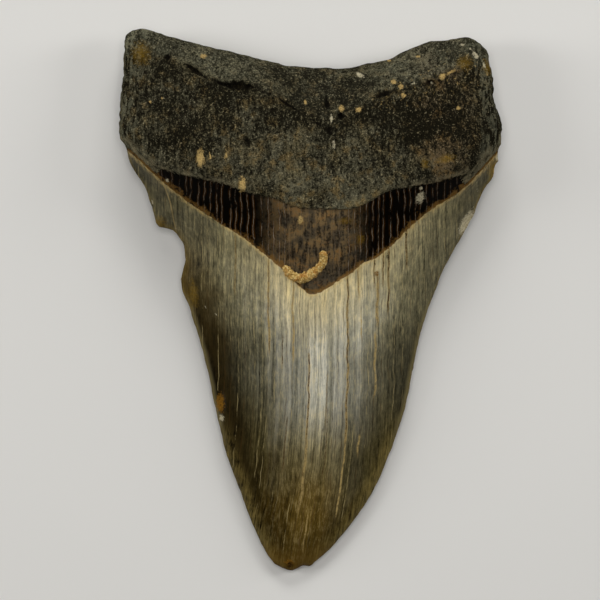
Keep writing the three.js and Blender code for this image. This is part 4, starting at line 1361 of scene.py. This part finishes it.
    def enamel(self, graph: Graph, place: Wire, along: Wire, down: Wire, wander: Wire) -> tuple[Wire, Wire]:
        """Colour and fine relief of the enamel: streaked zones, hair cracks and worn borders.

        Args:
            graph: the material's nodes.
            place: object coordinates in mm.
            along, down: the place across and along the blade, in mm.
            wander: how far its cracks stray, in mm.

        Returns:
            The colour, and the relief in mm.
        """
        fibre = graph.node("CombineXYZ", {}, {0: along + wander * 0.3, 1: down * 0.02, 2: 0.0})
        fibres = Fibres(
            place, along, down, wander,
            fine=graph.noise(fibre, 1.9, 5, 0.75) - 0.5,
            broad=graph.noise(fibre, 0.5, 3, 0.6),
            threads=graph.noise(graph.stretched(fibre, 1.0, 5.0, 1.0), 3.2, 3, 0.75) - 0.5,
            scuffs=graph.noise(graph.stretched(place, 1.0, 0.6, 1.0), 0.75, 5, 0.75),
            cloud=graph.noise(place, 0.1, 3),
        )
        colour = self.enamel_zones(graph, fibres)
        colour, depth = self.enamel_lines(graph, fibres, colour)
        colour = self.enamel_edges(graph, fibres, colour)
        relief = fibres.fine * 0.08 + fibres.threads * 0.07 + fibres.scuffs * 0.08 - depth * 0.1
        return colour, relief

    def marks(self, graph: Graph, place: Wire, colour: Wire) -> tuple[Wire, Wire]:
        """Lays the stains, chips and crusts over a colour.

        Args:
            graph: the material's nodes.
            place: object coordinates in mm.
            colour: what they lie on.

        Returns:
            The colour with them, and where they are, from 0 to 1.
        """
        jag = graph.noise(place, 1.6, 4, 0.7) - 0.5
        grit = graph.noise(place, 2.4, 3, 0.75)
        covered = None
        for kind, tint, soft, strength in (
            (Mark.OLIVE, self.enamel_amber, 0.9, 0.5), (Mark.RUST, self.mark_rust, 0.45, 0.95),
            (Mark.BROWN, self.mark_brown, 0.5, 0.9), (Mark.TAN, self.mark_tan, 0.5, 1.0),
            (Mark.PALE, self.mark_pale, 0.5, 0.9),
        ):
            mask = (graph.attribute(kind.value) + jag * 1.7).step(0.0, soft)
            mask = mask * (grit.step(0.34, 0.6) * 0.55 + 0.45) * strength
            colour = graph.blend(mask, colour, tint)
            covered = mask if covered is None else covered.maximum(mask)
        return colour, covered

    def make(self) -> bpy.types.Material:
        """The whole finish of the tooth, with each zone chosen by its distance to the anatomical lines."""
        graph = Graph("fossil")
        place = graph.place()
        along, down, _ = graph.split(graph.node("UVMap", {"uv_map": "grain"}, {}))
        wander = (graph.noise(graph.stretched(place, 0.25, 1.0, 0.0), 0.17, 4, 0.5) - 0.5) * 2.2
        jag = (graph.noise(place, 1.1, 3, 0.65) - 0.5) * 1.1
        root_colour, root_relief = self.root(graph, place)
        band_colour, band_relief, gloss = self.band(graph, place, along, down, wander)
        enamel_colour, enamel_relief = self.enamel(graph, place, along, down, wander)
        is_enamel = (graph.attribute("enamel") + jag * 0.7).step(-0.12, 0.12)
        x, _, _ = graph.split(place)
        past_band = abs(x + jag * 2.0).step(33.0, 36.0) * 4.0
        is_root = (graph.attribute("foot") + jag * 1.4 + past_band).step(-0.25, 0.15)
        is_root = is_root * (graph.attribute("enamel") + jag * 0.7).step(-0.25, -0.6)
        is_band = (1 - is_root) * (1 - is_enamel)
        colour = graph.blend(is_enamel, band_colour, enamel_colour)
        colour = graph.blend(is_root, colour, root_colour)
        chipped = graph.attribute("broken").step(0.1, 0.7) * 0.12
        colour = graph.blend(chipped, colour, self.enamel_amber)
        colour, covered = self.marks(graph, place, colour)
        relief = root_relief * is_root + enamel_relief * is_enamel + band_relief * is_band + covered * 0.12
        dull = is_root * 0.3 + is_band * (1 - gloss) * 0.15 + covered * 0.2
        surface = {
            "Base Color": colour,
            "Roughness": dull + self.least_roughness,
            "Coat Weight": is_band * gloss * self.band_coat + is_enamel * (1 - covered) * self.enamel_coat,
            "Coat Roughness": self.coat_roughness,
            "Specular IOR Level": 0.0,
        }
        return graph.finish(surface, relief)


@dataclass(frozen=True)
class TubeFinish:
    """Sandy ochre lime of the worm's tube, with pale grains, rusty clouds and dark pits."""

    base: Tint = Tint(164, 130, 66)
    pale: Tint = Tint(210, 186, 124)
    rust: Tint = Tint(158, 104, 38)
    pit: Tint = Tint(96, 70, 34)

    def make(self) -> bpy.types.Material:
        """The finish: grains of pale and rusty lime."""
        graph = Graph("worm_lime")
        place = graph.place()
        grains = graph.noise(place, 2.2, 4, 0.75)
        clouds = graph.noise(place, 0.6, 2)
        colour = graph.blend(grains.step(0.48, 0.62), self.base, self.pale)
        colour = graph.blend(clouds.step(0.5, 0.36) * 0.6, colour, self.rust)
        colour = graph.blend(grains.step(0.44, 0.34) * 0.8, colour, self.pit)
        surface = {"Base Color": colour, "Roughness": 0.8, "Specular IOR Level": 0.2}
        return graph.finish(surface, grains * 0.35)


# Studio


@dataclass(frozen=True)
class Softbox:
    """A soft light panel, in metres, that faces the middle of the tooth."""

    name: str
    place: tuple[float, float, float]
    size: tuple[float, float]
    watts: float

    def make(self) -> None:
        """Hangs the panel."""
        lamp = bpy.data.lights.new(self.name, "AREA")
        lamp.shape = "RECTANGLE"
        lamp.size, lamp.size_y = self.size
        lamp.energy = self.watts
        obj = bpy.data.objects.new(self.name, lamp)
        obj.location = self.place
        obj.rotation_euler = (-obj.location).to_track_quat("-Z", "Y").to_euler()
        bpy.context.scene.collection.objects.link(obj)


@dataclass(frozen=True)
class Studio:
    """Camera straight above the tooth, pale floor and soft light, in metres."""

    frame_width: float = 0.135
    centre_x: float = -0.00236
    edge_height: float = 0.008
    lens: float = 500.0
    sensor: float = 36.0
    far_clip: float = 20.0
    floor_half: float = 2.0
    floor_drop: float = 0.00003
    floor_tint: Tint = Tint(226, 224, 219)
    softboxes: tuple[Softbox, ...] = (
        Softbox("overhead", (0.0, 0.18, 2.0), (0.82, 0.82), 12.6),
        Softbox("back", (0.04, 0.66, 0.5), (0.5, 0.25), 2.6),
        Softbox("left", (-0.72, 0.1, 0.42), (0.2, 0.5), 2.2),
        Softbox("right", (0.72, 0.2, 0.42), (0.2, 0.5), 2.0),
    )
    sky: float = 0.06

    def make_camera(self) -> None:
        """A long lens, high enough that the frame is as wide as the photograph at the height of the edge."""
        camera = bpy.data.cameras.new("camera")
        camera.lens = self.lens
        camera.sensor_width = self.sensor
        camera.clip_end = self.far_clip
        obj = bpy.data.objects.new("camera", camera)
        obj.location = (self.centre_x, 0.0, self.edge_height + self.frame_width * self.lens / self.sensor)
        bpy.context.scene.collection.objects.link(obj)
        bpy.context.scene.camera = obj

    def make_floor(self) -> None:
        """A plain pale floor just under the tooth."""
        half, drop = self.floor_half / MM, self.floor_drop / MM
        corners = np.array([(x * half, y * half, -drop) for x, y in ((-1, -1), (1, -1), (1, 1), (-1, 1))])
        floor = GridMesh(points=corners, quads=np.array([[0, 1, 2, 3]])).make("floor")
        graph = Graph("floor")
        surface = {"Base Color": self.floor_tint.linear(1.0), "Roughness": 0.9}
        shader = graph.node("BsdfPrincipled", {}, surface)
        graph.node("OutputMaterial", {}, {"Surface": shader})
        floor.data.materials.append(graph.material)

    def make_sky(self) -> None:
        """Even light from all round."""
        world = bpy.data.worlds.new("sky")
        world.use_nodes = True
        background = world.node_tree.nodes["Background"]
        background.inputs["Color"].default_value = (1.0, 1.0, 1.0, 1.0)
        background.inputs["Strength"].default_value = self.sky
        bpy.context.scene.world = world

    def make(self) -> None:
        """Sets up everything round the tooth."""
        self.make_camera()
        self.make_floor()
        self.make_sky()
        for softbox in self.softboxes:
            softbox.make()
        bpy.context.scene.view_settings.view_transform = "Standard"


# The tooth itself


@dataclass
class Tooth:
    """The dressed tooth: its fine skin in place of the solid, and the worm's tube on it."""

    relief: ToothRelief = field(default_factory=ToothRelief)
    inset: float = 0.02

    def fit(self, mesh: GridMesh) -> Array:
        """The scale and shift, per axis, that put a mesh just inside the solid's box.

        Args:
            mesh: the skin, in millimetres.

        Returns:
            Two rows: what to multiply by, and what to add.
        """
        low, high = (np.array(corner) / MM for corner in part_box("tooth"))
        low[:2] += self.inset
        high -= self.inset
        least, most = mesh.points.min(axis=0), mesh.points.max(axis=0)
        scale = (high - low) / (most - least)
        return np.stack([scale, low - least * scale])

    @staticmethod
    def dress(mesh: GridMesh, name: str, material: bpy.types.Material) -> bpy.types.Object:
        """Makes a piece, gives it its finish, and reports it.

        Args:
            mesh: its fitted surface.
            name: its name.
            material: its finish.

        Returns:
            The new object, riding on the tooth's body.
        """
        obj = mesh.make(name)
        obj.data.materials.append(material)
        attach(obj, "root")
        LOG.info("%s: %d faces", name, len(obj.data.polygons))
        return obj

    def make(self) -> None:
        """Builds, fits and dresses both pieces."""
        skin = ToothSkin(self.relief).build()
        scale, shift = self.fit(skin)
        skin.points = skin.points * scale + shift
        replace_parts(self.dress(skin, "tooth_skin", FossilFinish().make()), "tooth")
        tube = WormTube(self.relief).build()
        tube.points = tube.points * scale + shift
        self.dress(tube, "worm_tube", TubeFinish().make())


def plain(bounds: Any) -> list[list[float]]:
    """A pair of corners as plain lists of numbers."""
    return [[float(value) for value in corner] for corner in bounds]


def main() -> None:
    """Loads the frame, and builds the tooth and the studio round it."""
    logging.basicConfig(level=logging.INFO)
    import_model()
    Tooth().make()
    Studio().make()


if __name__ == "__main__":
    main()
